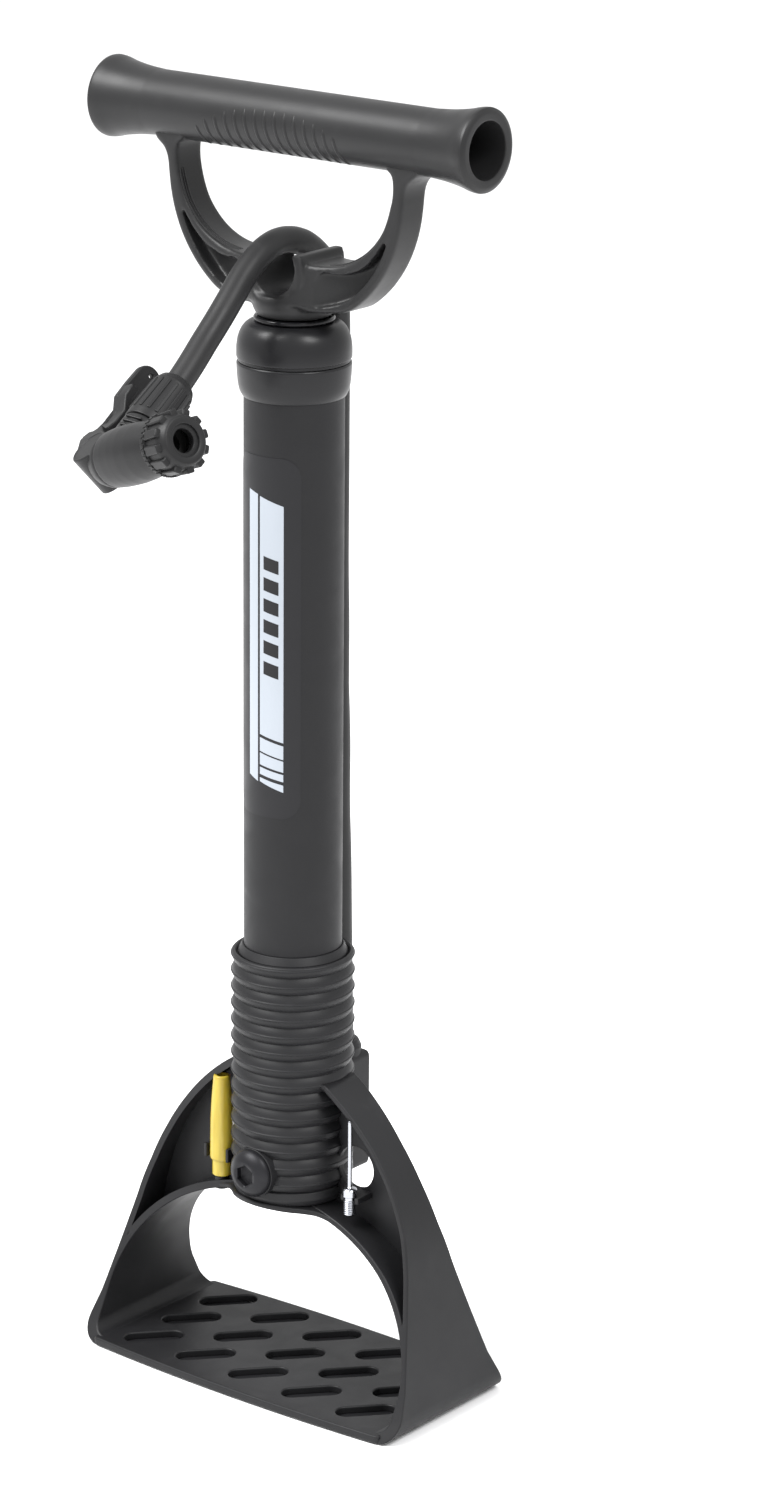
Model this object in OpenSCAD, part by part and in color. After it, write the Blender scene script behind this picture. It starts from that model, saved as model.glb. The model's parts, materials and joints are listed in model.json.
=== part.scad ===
// Floor bike pump: stirrup foot, steel barrel, D handle and a hose with a lever head.
// Origin: middle of the foot's underside, on the barrel's axis. +Z up, X along the handle.

/* [Barrel] */
// Outer radius of the barrel
barrel_r = 20; // [19.5:0.1:20]
// Wall of the barrel tube
barrel_wall = 1.25; // [1:0.05:1.4]
// Height of the barrel's lower end
barrel_low = 82; // [81:0.5:83]
// Height of the barrel's upper end, under the cap
barrel_top = 436; // [434:0.5:436]

/* [Foot] */
// Thickness of the foot plate
plate_t = 3.5; // [3:0.1:4.5]
// Half depth of the plate at its middle
plate_bow = 41.8; // [40:0.1:43]
// Half depth of the plate at its ends
plate_end = 38.5; // [37:0.1:39]
// Half width of the leg's outer line, carried down to the floor
leg_x = 86.35; // [86:0.05:87]
// How much the leg leans in for each millimetre up
leg_lean = 0.215; // [0.2:0.005:0.22]
// Half width of the opening for the shoe
arch_a = 79; // [78:0.5:79.5]
// Height of the opening above its springing line
arch_b = 64; // [62:0.5:65]
// Wall of the leg's outer band and of the arch flange
band_t = 2.5; // [2.2:0.1:2.8]
// Radius of the sight hole in each web
web_hole_r = 9; // [7:0.5:10]

/* [Collar] */
// Outer radius of the ribbed collar
collar_r = 25.05; // [24.8:0.05:25.3]
// Depth of the grooves between the ribs
rib_depth = 1.1; // [0.6:0.1:1.3]
// Number of ribs
rib_count = 14; // [12:1:14]
// Top of the collar
collar_top = 185; // [184:0.5:187]

/* [Cap] */
// Radius of the cap and of the ring under it
cap_r = 22.8; // [22.4:0.1:23]
// Top of the cap
cap_top = 445.2; // [445:0.1:445.2]

/* [Rod and piston] */
// Radius of the piston rod
rod_r = 6; // [5.8:0.1:6]
// Running clearance of the rod and of the piston, in radius
run_gap = 0.05; // [0.02:0.01:0.09]
// Height of the piston's underside at rest
piston_low = 112; // [111:0.5:113]

/* [Handle] */
// Height of the grip's axis
grip_z = 523.1; // [522:0.1:524]
// Length of the grip
grip_len = 188.3; // [186:0.1:190]
// Radius of the grip
grip_r = 13; // [12.6:0.1:13.4]
// Radius of the flared ends
grip_rim_r = 16.4; // [16:0.1:16.8]
// Half depth of the yoke
yoke_y = 8; // [7.5:0.1:8.5]
// Radius of the head clip's bore
clip_r = 10.6; // [10.3:0.1:10.8]

/* [Hose] */
// Outer radius of the hose
hose_r = 5.35; // [5:0.05:5.4]

/* [Pump head] */
// Where the neck and the nozzle axes cross
head_pos = [3, -105, 410];
// How the head is turned from an upright neck with its nozzle along +X
head_turn = [-54, -20, -12];
// Radius of the fluted nut
nut_r = 12.1; // [11.8:0.1:12.3]

/* [Hidden] */
$fn = 64;

eps = 0.01;
// foot
corner_r = 8.5;
corner_x = leg_x - leg_lean * 10.3 - corner_r * cos(atan(leg_lean));
band_x = -37.7;
band_z = 39.7;
band_r = 112.8;
arch_z = 15;
arch_p = 2.1;
arch_fillet = 6;
web_y0 = 1;
web_y1 = 3.6;
hub_low = 79;
boss_half = 9.5;
boss_low = 80;
boss_top = 131;
hub_hole_z = 96.5;
hub_hole_x = 33;
rib_first = 90;
rib_pitch = 7.15;
port_z = 94;
hose_y = 31;
bore_r = barrel_r - barrel_wall;
black = [0.13, 0.13, 0.14];
// half depth of the stirrup at each height, [half depth, z]
depth_pts = [[plate_end, 0], [33, 9], [27.5, 20], [21.2, 40], [15.3, 60], [11, 79], [9.3, 95],
    [8.8, 110], [9.9, 130], [9.9, 140]];
slot_xs = [-57.5, -28.75, 0, 28.75, 57.5];
slot_ys = [-22, 2.2, 26.4];
needle_at = [37, -8];
cone_at = [-31.4, -8];
// handle
hub_r = 16.9;
handle_low = 447.4;
clip_z = 468;
horn_top = 474;
yoke_outer = [[17, 452], [25, 452.4], [33.5, 454.4], [41.7, 460.6], [47.9, 467.7], [52.5, 475.2],
    [55.7, 483], [57.6, 490.5], [58.6, 498], [59.2, 503], [61, 507], [65.5, 511.2], [66, 518]];
yoke_inner = [[49, 518], [50.5, 512.2], [53.4, 509.4], [54.1, 505], [53.6, 499.5], [51.8, 492.6],
    [48.9, 486.2], [43.8, 480], [37.4, 475.2], [29.7, 472], [21, 470.8], [12, 471]];
yoke_pocket = [[18, 455.5], [24.5, 455.4], [32, 458.2], [38.8, 463.2], [44.5, 469.6], [48.8, 476.5],
    [51.6, 483.2], [52.4, 486.4], [49.4, 482], [44.6, 476], [38.4, 471], [30, 468.2], [20, 467.4]];
// hose route, by hand
riser_route = [[0, 31, 104], [0, 31, 120], [0, 31, 140], [-0.5, 31, 165], [-1, 31, 190],
    [-1.5, 31, 215], [-2, 30.5, 240], [-2, 30.5, 265], [-2.5, 30, 290]];
loop_route = [[-2.5, 30, 290], [-2.5, 30, 315], [-3, 30, 340], [-3, 30, 365], [-3, 30, 390],
    [-3, 30, 415], [-3, 30, 438], [-3, 29, 449], [-3, 26, 457], [-3, 21.5, 464], [-3, 16, 469.5],
    [-3, 9, 474], [-3, 1, 476.5], [-3, -7, 476.8], [-2.5, -15, 475], [-2, -22.5, 471.3],
    [-1.5, -30, 466], [-0.5, -38, 459.5], [0, -46, 452.5], [0.5, -54.5, 445.5],
    [1.5, -63.5, 438.5], [1.9, -71.7, 432.1]];

function arc_pts(x, y, r, a0, a1, n) =
    [for (i = [0:n]) let (t = a0 + (a1 - a0) * i / n) [x + r * cos(t), y + r * sin(t)]];
function flip_pts(p) = [for (i = [len(p) - 1:-1:0]) [-p[i][0], p[i][1]]];
function sgn_pow(v, k) = sign(v) * pow(abs(v), k);
function arch_pts(grow, n) =
    [for (i = [0:n]) let (t = 180 * i / n)
        [(arch_a + grow) * sgn_pow(cos(t), 2 / arch_p),
         arch_z + (arch_b + grow) * pow(abs(sin(t)), 2 / arch_p)]];
function stirrup_half(inset) = concat(
    arc_pts(corner_x, corner_r, corner_r - inset, -90, atan(leg_lean), 5),
    arc_pts(band_x, band_z, band_r - inset, 13.5, 56.2, 12));
function rib_pts(i) = [[collar_r - rib_depth, rib_first + rib_pitch * (i - 0.5)],
    [collar_r, rib_first + rib_pitch * (i - 0.12)], [collar_r, rib_first + rib_pitch * (i + 0.12)]];
function spline(a, b, c, d, t) =
    0.5 * (2 * b + (c - a) * t + (2 * a - 5 * b + 4 * c - d) * t * t
    + (3 * b - a - 3 * c + d) * t * t * t);
function unit(v) = v / norm(v);
function smooth(p, k) = concat([for (i = [0:len(p) - 2], j = [0:k - 1])
    spline(p[max(i - 1, 0)], p[i], p[i + 1], p[min(i + 2, len(p) - 1)], j / k)], [p[len(p) - 1]]);
function along(p, i) = unit(p[min(i + 1, len(p) - 1)] - p[max(i - 1, 0)]);

// A round tube of solid section that follows points; its first and last faces are given directions
module tube(p, r, sides, first, last) {
    n = len(p);
    dirs = [for (i = [0:n - 1]) i == 0 ? first : (i == n - 1 ? last : along(p, i))];
    pts = [for (i = [0:n - 1], j = [0:sides - 1])
        let (a = unit(cross(dirs[i], [1, 0, 0])), b = cross(dirs[i], a), t = 360 * j / sides)
        p[i] + r * (cos(t) * a + sin(t) * b)];
    skin = [for (i = [0:n - 2], j = [0:sides - 1])
        let (k = (j + 1) % sides)
        [i * sides + j, (i + 1) * sides + j, (i + 1) * sides + k, i * sides + k]];
    ends = [[for (j = [0:sides - 1]) j], [for (j = [sides - 1:-1:0]) (n - 1) * sides + j]];
    polyhedron(points = pts, faces = concat(skin, ends));
}
module xz(y0, y1) {
    translate([0, y1, 0]) rotate([90, 0, 0]) linear_extrude(height = y1 - y0) children();
}
module ring(r_out, r_in, z0, z1) {
    difference() {
        translate([0, 0, z0]) cylinder(r = r_out, h = z1 - z0);
        translate([0, 0, z0 - 1]) cylinder(r = r_in, h = z1 - z0 + 2);
    }
}
module rod_y(r, y0, y1) {
    translate([0, y1, 0]) rotate([90, 0, 0]) cylinder(r = r, h = y1 - y0);
}
module rod_x(r, x0, x1) {
    translate([x0, 0, 0]) rotate([0, 90, 0]) cylinder(r = r, h = x1 - x0);
}
module in_head() {
    translate(head_pos) rotate(head_turn) children();
}

// ---- foot ----
module stirrup() {
    difference() {
        intersection() {
            xz(-60, 60) polygon(concat(stirrup_half(0), flip_pts(stirrup_half(0))));
            rotate([90, 0, 90]) linear_extrude(height = 200, center = true)
                polygon(concat(depth_pts, flip_pts(depth_pts)));
        }
        xz(-61, 61) polygon(concat(arch_pts(0, 32),
            arc_pts(-arch_a + arch_fillet, plate_t + arch_fillet, arch_fillet, 180, 270, 3),
            arc_pts(arch_a - arch_fillet, plate_t + arch_fillet, arch_fillet, 270, 360, 3)));
        web_pocket(-61, web_y0);
        web_pocket(web_y1, 61);
    }
}
module web_pocket(y0, y1) {
    difference() {
        xz(y0, y1) polygon(concat(stirrup_half(band_t), flip_pts(stirrup_half(band_t))));
        xz(y0 - 1, y1 + 1) polygon(concat(arch_pts(band_t, 32), [[-100, arch_z], [-100, -5],
            [100, -5], [100, arch_z]]));
    }
}
module foot_plate() {
    n = 12;
    edge = [for (i = [-n:n]) let (x = 80 * i / n) [x, plate_end + (plate_bow - plate_end)
        * (1 - pow(x / 80, 2))]];
    linear_extrude(height = plate_t)
        polygon(concat(edge, [for (i = [len(edge) - 1:-1:0]) [edge[i][0], -edge[i][1]]]));
}
module foot_slot() {
    long = 8;
    w = 4.5;
    translate([-long, -w, 0]) cube([2 * long, 2 * w, plate_t + 2]);
    for (s = [-1, 1]) translate([s * long, 0, 0]) cylinder(r = w, h = plate_t + 2);
}
module hub() {
    rotate_extrude() polygon(concat([[0, hub_low], [20, hub_low], [23.4, hub_low + 1.4],
        [24.6, hub_low + 4]], [for (i = [0:rib_count - 1]) each rib_pts(i)],
        [[collar_r, collar_top - 0.8], [collar_r - 0.8, collar_top], [0, collar_top]]));
    translate([0, 0, port_z]) rod_y(10.6, -26, 0);
    difference() {
        xz(12, hose_y + 8.5) polygon([[-boss_half, boss_low + 2], [2 - boss_half, boss_low],
            [boss_half - 2, boss_low], [boss_half, boss_low + 2], [boss_half, boss_top - 2],
            [boss_half - 2, boss_top], [2 - boss_half, boss_top], [-boss_half, boss_top - 2]]);
        translate([0, 0, 60]) cylinder(r = 12, h = 100);
    }
}
// A fork on the web that an adapter slides into from the front
module holder(at, r, wall, reach, z0, z1) {
    difference() {
        translate([at[0] - r - wall, at[1] - reach, z0])
            cube([2 * (r + wall), web_y0 + 1 - at[1] + reach, z1 - z0]);
        way_in(at, r, z0 - 1, z1 + 1);
    }
}
// The room that an adapter takes up on its way in
module way_in(at, r, z0, z1) {
    translate([at[0], at[1], z0]) cylinder(r = r, h = z1 - z0);
    translate([at[0] - r, at[1] - 12, z0]) cube([2 * r, 12, z1 - z0]);
}
module foot_base() {
    color(black) difference() {
        union() {
            stirrup();
            foot_plate();
            hub();
            holder(needle_at, 2.75, 1.9, 0.5, 85.2, 87.8);
            holder(cone_at, 5.1, 1.5, 4, 87.2, 93);
            translate([cone_at[0], cone_at[1], 74]) cylinder(r = 3, h = 5.6);
        }
        way_in(needle_at, 1.5, 100, 121.3);
        way_in(cone_at, 3.9, 100, 124.3);
        for (x = slot_xs, y = slot_ys) translate([x, y, -1]) rotate([0, 0, 48]) foot_slot();
        translate([0, 0, barrel_low]) cylinder(r = barrel_r, h = 200);
        for (s = [-1, 1]) translate([s * hub_hole_x, 0, hub_hole_z])
            rod_y(web_hole_r, web_y0 - 1, web_y1 + 1);
        translate([0, 0, port_z]) rod_y(6.1, -40, -10);
        translate([0, 0, port_z]) rod_y(6, 10, hose_y);
        translate([0, hose_y, 86]) cylinder(r = 7, h = 60);
    }
}

// ---- barrel, cap and their fixed pieces ----
module barrel() {
    color([0.16, 0.16, 0.17]) difference() {
        translate([0, 0, barrel_low]) cylinder(r = barrel_r, h = barrel_top - barrel_low);
        translate([0, 0, barrel_low - 1]) cylinder(r = bore_r, h = barrel_top);
        translate([0, 0, port_z]) rod_y(6.1, -30, 0);
        translate([0, 0, port_z]) rod_y(6, 0, 30);
    }
}
module label_film() {
    color([0.8, 0.83, 0.9]) rotate([0, 0, -90 - 48]) rotate_extrude(angle = 96)
        translate([barrel_r, 246]) square([0.15, 148]);
}
module cap_ring() {
    color(black) difference() {
        rotate_extrude() polygon([[10, 415.5], [20.4, 415.5], [21.6, 417.5], [22.3, 421],
            [cap_r, 428.3], [cap_r - 0.5, 429.2], [10, 429.2]]);
        translate([0, 0, 410]) cylinder(r = barrel_r, h = 30);
    }
}
module top_cap() {
    color(black) difference() {
        rotate_extrude() polygon([[0, 418], [bore_r, 418], [bore_r, barrel_top],
            [barrel_r, barrel_top], [barrel_r, 429.2], [cap_r - 0.6, 429.2], [cap_r - 0.6, 430.6],
            [cap_r, 431.2], [cap_r, 433], [cap_r - 0.2, 436.8], [cap_r - 1.2, 440.6],
            [cap_r - 3.2, 443.7], [cap_r - 6, cap_top], [0, cap_top]]);
        translate([0, 0, 410]) cylinder(r = rod_r + 0.6, h = 50);
        translate([0, 0, 410]) cylinder(r = 9, h = 31);
    }
}
module rod_bush() {
    color([0.75, 0.65, 0.4]) ring(9, rod_r + run_gap, 419, 437.5);
}
module rod_seal() {
    color([0.1, 0.1, 0.1]) ring(9, rod_r + run_gap, 438, 441);
}
module stop_washer() {
    color([0.7, 0.7, 0.72]) ring(bore_r - 0.1, rod_r + 0.6, 416, 418);
}
module foot_plug() {
    color([0.75, 0.76, 0.78]) difference() {
        translate([0, 0, barrel_low]) cylinder(r = bore_r, h = 24);
        ring(bore_r + 1, 15.6, 99.4, 102.6);
        translate([0, 0, 98]) cylinder(r = 2.5, h = 20);
        translate([0, 0, 80]) cylinder(r = 4.5, h = 19);
        translate([0, 0, port_z]) rod_y(5, -30, -6.6);
        translate([0, 0, port_z]) rod_y(3, 0, 12);
        translate([0, 0, port_z]) rod_y(4.8, 10, 30);
    }
}
module plug_o_ring() {
    color([0.1, 0.1, 0.1]) translate([0, 0, 101]) rotate_extrude() translate([17.15, 0])
        circle(r = 1.5);
}
module valve_plug() {
    color([0.75, 0.76, 0.78]) difference() {
        translate([0, 0, barrel_low]) cylinder(r = 4.5, h = 4);
        translate([0, 0, barrel_low - 1]) cylinder(r = 2, h = 3, $fn = 6);
    }
}
module check_ball() {
    color([0.8, 0.8, 0.82]) translate([0, 0, 97.1]) sphere(r = 3);
}
module check_spring() {
    turns = 4;
    steps = 12;
    helix = [for (i = [0:turns * steps]) let (t = 360 * i / steps)
        [2.4 * cos(t), 2.4 * sin(t), 86.5 + 7 * i / (turns * steps)]];
    sides = 6;
    n = len(helix);
    pts = [for (i = [0:n - 1], j = [0:sides - 1]) let (t = 360 * i / steps, s = 360 * j / sides)
        helix[i] + 0.35 * (cos(s) * [cos(t), sin(t), 0] + sin(s) * [0, 0, 1])];
    skin = [for (i = [0:n - 2], j = [0:sides - 1]) let (k = (j + 1) % sides)
        [i * sides + j, i * sides + k, (i + 1) * sides + k, (i + 1) * sides + j]];
    ends = [[for (j = [sides - 1:-1:0]) j], [for (j = [0:sides - 1]) (n - 1) * sides + j]];
    color([0.8, 0.8, 0.82]) polyhedron(points = pts, faces = concat(skin, ends));
}
module base_bolt() {
    color([0.1, 0.1, 0.11]) translate([0, -26, port_z]) rotate([90, 0, 0]) difference() {
        union() {
            rotate_extrude() polygon([[0, 0], [10, 0], [10, 1.2], [8.6, 3.2], [6.4, 4.6], [0, 5]]);
            translate([0, 0, -19]) cylinder(r = 5, h = 19 + eps);
        }
        translate([0, 0, 2]) cylinder(r = 4.62, h = 6, $fn = 6);
    }
}
module hose_elbow() {
    color([0.78, 0.65, 0.35]) difference() {
        union() {
            translate([0, 0, port_z]) rod_y(4.8, 12, hose_y);
            translate([0, hose_y, port_z]) sphere(r = 6.4);
            translate([0, hose_y, port_z]) cylinder(r = 5.4, h = 10);
            translate([0, hose_y, port_z]) cylinder(r = 3, h = 26);
        }
        translate([0, 0, port_z]) rod_y(2, 11, hose_y);
        translate([0, hose_y, port_z]) cylinder(r = 2, h = 40);
    }
}
module hose_riser() {
    color([0.12, 0.12, 0.13]) tube(riser_route, hose_r, 12, [0, 0, 1], [0, 0, 1]);
}

// ---- piston, rod and handle ----
module piston_disc() {
    color([0.85, 0.85, 0.8]) ring(bore_r - 0.5, 4 + run_gap, piston_low + 6, piston_low + 12);
}
module piston_cup() {
    color([0.25, 0.18, 0.12]) difference() {
        translate([0, 0, piston_low]) cylinder(r = bore_r - run_gap, h = 6);
        translate([0, 0, piston_low - 1]) cylinder(r = 15.8, h = 4.5);
        translate([0, 0, piston_low - 1]) cylinder(r = 4 + run_gap, h = 8);
    }
}
module piston_washer() {
    color([0.7, 0.7, 0.72]) ring(12, 4 + run_gap, piston_low + 2, piston_low + 3.5);
}
module rod() {
    color([0.82, 0.83, 0.85]) difference() {
        union() {
            translate([0, 0, piston_low + 12.1]) cylinder(r = rod_r, h = 453 - piston_low - 12.1);
            translate([0, 0, piston_low - 4]) cylinder(r = 4, h = 17);
        }
        translate([0, 0, 438]) cylinder(r = 2.5, h = 20);
    }
}
module rebound_ring() {
    color([0.1, 0.1, 0.1]) ring(11, rod_r, piston_low + 12.4, piston_low + 18);
}
module piston_nut() {
    color([0.75, 0.75, 0.77]) difference() {
        translate([0, 0, piston_low - 2.6]) cylinder(r = 7.5, h = 4.4, $fn = 6);
        translate([0, 0, piston_low - 4]) cylinder(r = 4, h = 8);
    }
}
module grip() {
    half = grip_len / 2;
    end_pts = [[half - 26, grip_r], [half - 17, grip_r + 0.7], [half - 9, grip_r + 1.9],
        [half - 4, grip_rim_r - 0.3], [half - 1.6, grip_rim_r], [half - 0.3, grip_rim_r - 1],
        [half, grip_rim_r - 2.6]];
    outline = concat([[-half, 0], [half, 0]], [for (i = [len(end_pts) - 1:-1:0]) end_pts[i]],
        [for (q = end_pts) [-q[0], q[1]]]);
    translate([0, 0, grip_z]) rotate([0, 90, 0]) rotate_extrude()
        polygon([for (q = outline) [q[1], q[0]]]);
}
module yoke() {
    difference() {
        xz(-yoke_y, yoke_y) polygon(concat(yoke_outer, flip_pts(yoke_outer)));
        xz(-20, 20) polygon(concat(yoke_inner, flip_pts(yoke_inner)));
        for (s = [0, 1]) mirror([s, 0, 0]) {
            xz(-20, -1.6) polygon(yoke_pocket);
            xz(1.6, 20) polygon(yoke_pocket);
        }
    }
}
module handle_hub() {
    difference() {
        union() {
            translate([0, 0, handle_low]) cylinder(r = hub_r, h = 12.6);
            intersection() {
                translate([0, 0, clip_z]) rod_y(14.8, -13.5, 13.5);
                xz(-20, 20) polygon([[-20, 440], [20, 440], [20, horn_top - 2], [13, horn_top],
                    [-13, horn_top], [-20, horn_top - 2]]);
            }
        }
        translate([0, 0, clip_z]) rod_y(clip_r, -30, 30);
        xz(-30, 30) polygon([[-9.6, clip_z], [9.6, clip_z], [9.6, 490], [-9.6, 490]]);
    }
}
module handle() {
    color(black) difference() {
        union() {
            difference() {
                union() {
                    grip();
                    yoke();
                }
                translate([0, 0, 440]) cylinder(r = hub_r - 1, h = 40);
            }
            handle_hub();
        }
        for (s = [-1, 1]) translate([s * (grip_len / 4 + 3), 0, grip_z]) rotate([0, 90, 0])
            cylinder(r = 11.1, h = grip_len / 2, center = true);
        translate([0, 0, 440]) cylinder(r = rod_r, h = 13);
        translate([0, 0, 440]) cylinder(r = 2.6, h = 30);
        translate([0, 0, 455]) cylinder(r = 5.2, h = 20);
    }
}
module handle_screw() {
    color([0.5, 0.5, 0.52]) difference() {
        union() {
            translate([0, 0, 455]) cylinder(r = 5, h = 2.4);
            translate([0, 0, 440]) cylinder(r = 2.5, h = 15 + eps);
        }
        translate([0, 0, 456]) cylinder(r = 2.3, h = 4, $fn = 6);
    }
}
module bumper_ring() {
    color([0.08, 0.08, 0.08]) rotate_extrude() polygon([[rod_r, 445.5], [15.4, 445.5],
        [16.1, 446.1], [16.1, 446.8], [15.4, handle_low], [rod_r, handle_low]]);
}
module hose_loop() {
    rot_last = [0.0286, -0.8331, -0.5523];
    color([0.12, 0.12, 0.13]) tube(smooth(loop_route, 2), hose_r, 12, [0, 0, 1], rot_last);
}

// ---- pump head, in its own upright frame: neck along +Z, nozzle along +X ----
neck_top = 16;
ferrule_top = 40;
nozzle_end = 33;
pin_x = -12.5;
module hose_ferrule() {
    color(black) in_head() difference() {
        rotate_extrude() polygon([[0, neck_top], [9.1, neck_top], [9.2, neck_top + 3],
            [8.5, ferrule_top - 3.4], [7.4, ferrule_top - 1], [6.2, ferrule_top],
            [0, ferrule_top]]);
        translate([0, 0, neck_top - 1]) cylinder(r = 2.5, h = 30);
        for (i = [0:15]) rotate([0, 0, 22.5 * i]) translate([9.2, 0, neck_top + 3.5])
            cylinder(r = 0.7, h = 16);
    }
}
module head_body() {
    color(black) in_head() difference() {
        union() {
            cylinder(r = 8.8, h = neck_top);
            sphere(r = 9.8);
            rod_x(9.8, 0, 29.5);
            rod_x(8.6, 29, nozzle_end);
            rod_x(11, -4, 5.7);
            translate([pin_x - 3.6, -4.5, -6]) cube([16, 9, 14]);
            translate([pin_x, 0, 0]) rod_y(6.4, -4.5, 4.5);
        }
        rod_x(7.4, 16, nozzle_end + 1);
        rod_x(4 + run_gap, -9, 17);
        cylinder(r = 2.5, h = neck_top + 1);
        translate([pin_x, 0, 0]) {
            rod_y(2, -20, 20);
            for (s = [-1, 1]) translate([0, s * 12.3, 0]) rod_y(8.4, -7.7, 7.7);
        }
    }
}
module lever_pin() {
    color([0.7, 0.7, 0.72]) in_head() translate([pin_x, 0, 0]) rod_y(2, -8.7, 8.7);
}
module gland_rubber() {
    color([0.1, 0.1, 0.1]) in_head() difference() {
        rod_x(7.3, 20, 32.5);
        rod_x(4.1, 19, 34);
    }
}
module plunger() {
    color([0.8, 0.8, 0.75]) in_head() difference() {
        rod_x(4, -5.8, 16.5);
        rod_x(1.5, 6, 18);
        translate([6, 0, -3]) cylinder(r = 1.2, h = 8);
    }
}
module head_lever() {
    color(black) in_head() difference() {
        union() {
            for (s = [-1, 1]) translate([0, s * 6.8, 0]) {
                translate([pin_x, 0, 0]) rod_y(8, -1.9, 1.9);
                translate([pin_x - 8, -1.9, 0]) cube([10, 3.8, 12]);
                translate([-25, -1.9, 6]) cube([8.5, 3.8, 30]);
            }
            translate([-25, -6, 8]) cube([3, 12, 32]);
            translate([-25, 0, 40]) rotate([0, 90, 0]) cylinder(r = 7, h = 4);
            translate([-25, -7, 34]) cube([4, 14, 6]);
        }
        translate([pin_x, 0, 0]) rod_y(2 + run_gap, -20, 20);
        translate([-30, 0, 42]) rotate([0, 90, 0]) cylinder(r = 1.3, h = 12);
    }
}
module valve_nut() {
    color(black) in_head() difference() {
        rotate([0, 90, 0]) rotate_extrude() polygon([[0, 30], [nut_r - 0.5, 30], [nut_r, 30.6],
            [nut_r, 31.6], [nut_r - 0.7, 32], [nut_r - 0.5, 38.5], [nut_r - 2.2, 42],
            [nut_r - 3.4, 42.5], [0, 42.5]]);
        rod_x(8.6 + run_gap, 29, 39);
        rod_x(4.6, 38, 44);
        rod_x(6.4, 41.2, 44);
        for (i = [0:11]) rotate([30 * i, 0, 0]) translate([33.5, 0, nut_r + 0.2]) rod_x(1.4, 0, 10);
    }
}

// ---- adapters kept on the foot ----
module ball_needle() {
    color([0.85, 0.86, 0.88]) translate([needle_at[0], needle_at[1], 0]) difference() {
        rotate_extrude() polygon([[0, 79.8], [2.4, 79.8], [2.6, 80.2], [2.6, 87], [2.2, 87.2],
            [2.2, 87.8], [3, 88], [3, 91], [2.4, 91.6], [0.95, 91.9], [0.95, 120.1], [0.6, 120.9],
            [0, 120.9]]);
        translate([0, 0, 79]) cylinder(r = 0.5, h = 38);
    }
}
module cone_adapter() {
    color([0.9, 0.85, 0.35]) translate([cone_at[0], cone_at[1], 0]) difference() {
        rotate_extrude() polygon([[0, 79.8], [3.6, 79.8], [4, 80.3], [4, 86.8], [4.6, 87],
            [4.9, 87.6], [4.9, 96], [4.75, 105], [4.35, 113], [3.85, 119], [3.5, 123.4],
            [3, 123.9], [0, 123.9]]);
        translate([0, 0, 79]) cylinder(r = 2, h = 50);
    }
}

foot_base();
barrel();
label_film();
cap_ring();
top_cap();
rod_bush();
rod_seal();
stop_washer();
foot_plug();
plug_o_ring();
valve_plug();
check_ball();
check_spring();
base_bolt();
hose_elbow();
hose_riser();
piston_disc();
piston_cup();
piston_washer();
rod();
rebound_ring();
piston_nut();
handle();
handle_screw();
bumper_ring();
hose_loop();
hose_ferrule();
head_body();
lever_pin();
gland_rubber();
plunger();
head_lever();
valve_nut();
ball_needle();
cone_adapter();
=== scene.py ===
import bpy
import bmesh
import json
from math import sin, cos, tan, pi, radians, degrees, sqrt, atan, atan2, exp, copysign
from mathutils import Vector, Matrix, Euler

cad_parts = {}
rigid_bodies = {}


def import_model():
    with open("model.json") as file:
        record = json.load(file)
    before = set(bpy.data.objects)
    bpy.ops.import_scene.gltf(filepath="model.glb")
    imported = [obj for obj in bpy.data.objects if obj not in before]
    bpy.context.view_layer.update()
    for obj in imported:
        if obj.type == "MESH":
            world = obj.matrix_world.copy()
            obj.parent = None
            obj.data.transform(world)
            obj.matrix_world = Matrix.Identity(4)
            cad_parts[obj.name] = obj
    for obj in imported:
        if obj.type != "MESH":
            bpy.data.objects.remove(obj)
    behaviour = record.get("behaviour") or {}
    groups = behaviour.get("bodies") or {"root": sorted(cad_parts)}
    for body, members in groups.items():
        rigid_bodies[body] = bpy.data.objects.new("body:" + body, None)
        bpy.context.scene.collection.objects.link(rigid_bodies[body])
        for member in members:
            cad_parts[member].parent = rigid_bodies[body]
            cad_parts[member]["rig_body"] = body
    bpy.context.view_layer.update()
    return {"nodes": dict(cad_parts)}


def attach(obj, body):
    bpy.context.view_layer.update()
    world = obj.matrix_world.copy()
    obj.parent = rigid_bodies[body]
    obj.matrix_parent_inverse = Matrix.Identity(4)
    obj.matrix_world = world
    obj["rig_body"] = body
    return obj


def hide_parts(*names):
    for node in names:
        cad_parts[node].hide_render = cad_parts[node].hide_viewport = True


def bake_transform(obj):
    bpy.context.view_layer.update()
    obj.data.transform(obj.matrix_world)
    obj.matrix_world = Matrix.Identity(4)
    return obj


# Floor bike pump: black stirrup foot, ribbed collar, steel barrel, D handle, hose with a lever head.
# Shapes are written in millimetres and go through the factor mm on their way into a mesh.
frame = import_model()
scene = bpy.context.scene
mm = 0.001
scene.view_settings.view_transform = "Standard"
print("frame loaded:", len(frame["nodes"]), "nodes")

# camera, on the same side and at the same height as a person who looks down at the pump
shot = {"azimuth": 38.52, "elevation": 17.36, "roll": 0.49, "lens": 116.05,
        "target": (0.03007, 0.02394, 0.26922), "distance": 1.94382}


def makeCamera(shot):
    a, e, roll = (radians(shot[k]) for k in ("azimuth", "elevation", "roll"))
    back = Vector((sin(a) * cos(e), -cos(a) * cos(e), sin(e)))
    side = Vector((cos(a), sin(a), 0))
    up = back.cross(side)
    right = cos(roll) * side + sin(roll) * up
    top = cos(roll) * up - sin(roll) * side
    data = bpy.data.cameras.new("camera")
    data.lens, data.sensor_width = shot["lens"], 36
    data.clip_start, data.clip_end = 0.05, 20
    camera = bpy.data.objects.new("camera", data)
    scene.collection.objects.link(camera)
    turn = Matrix((right, top, back)).transposed().to_4x4()
    camera.matrix_world = Matrix.Translation(Vector(shot["target"]) + back * shot["distance"]) @ turn
    scene.camera = camera


makeCamera(shot)


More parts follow.
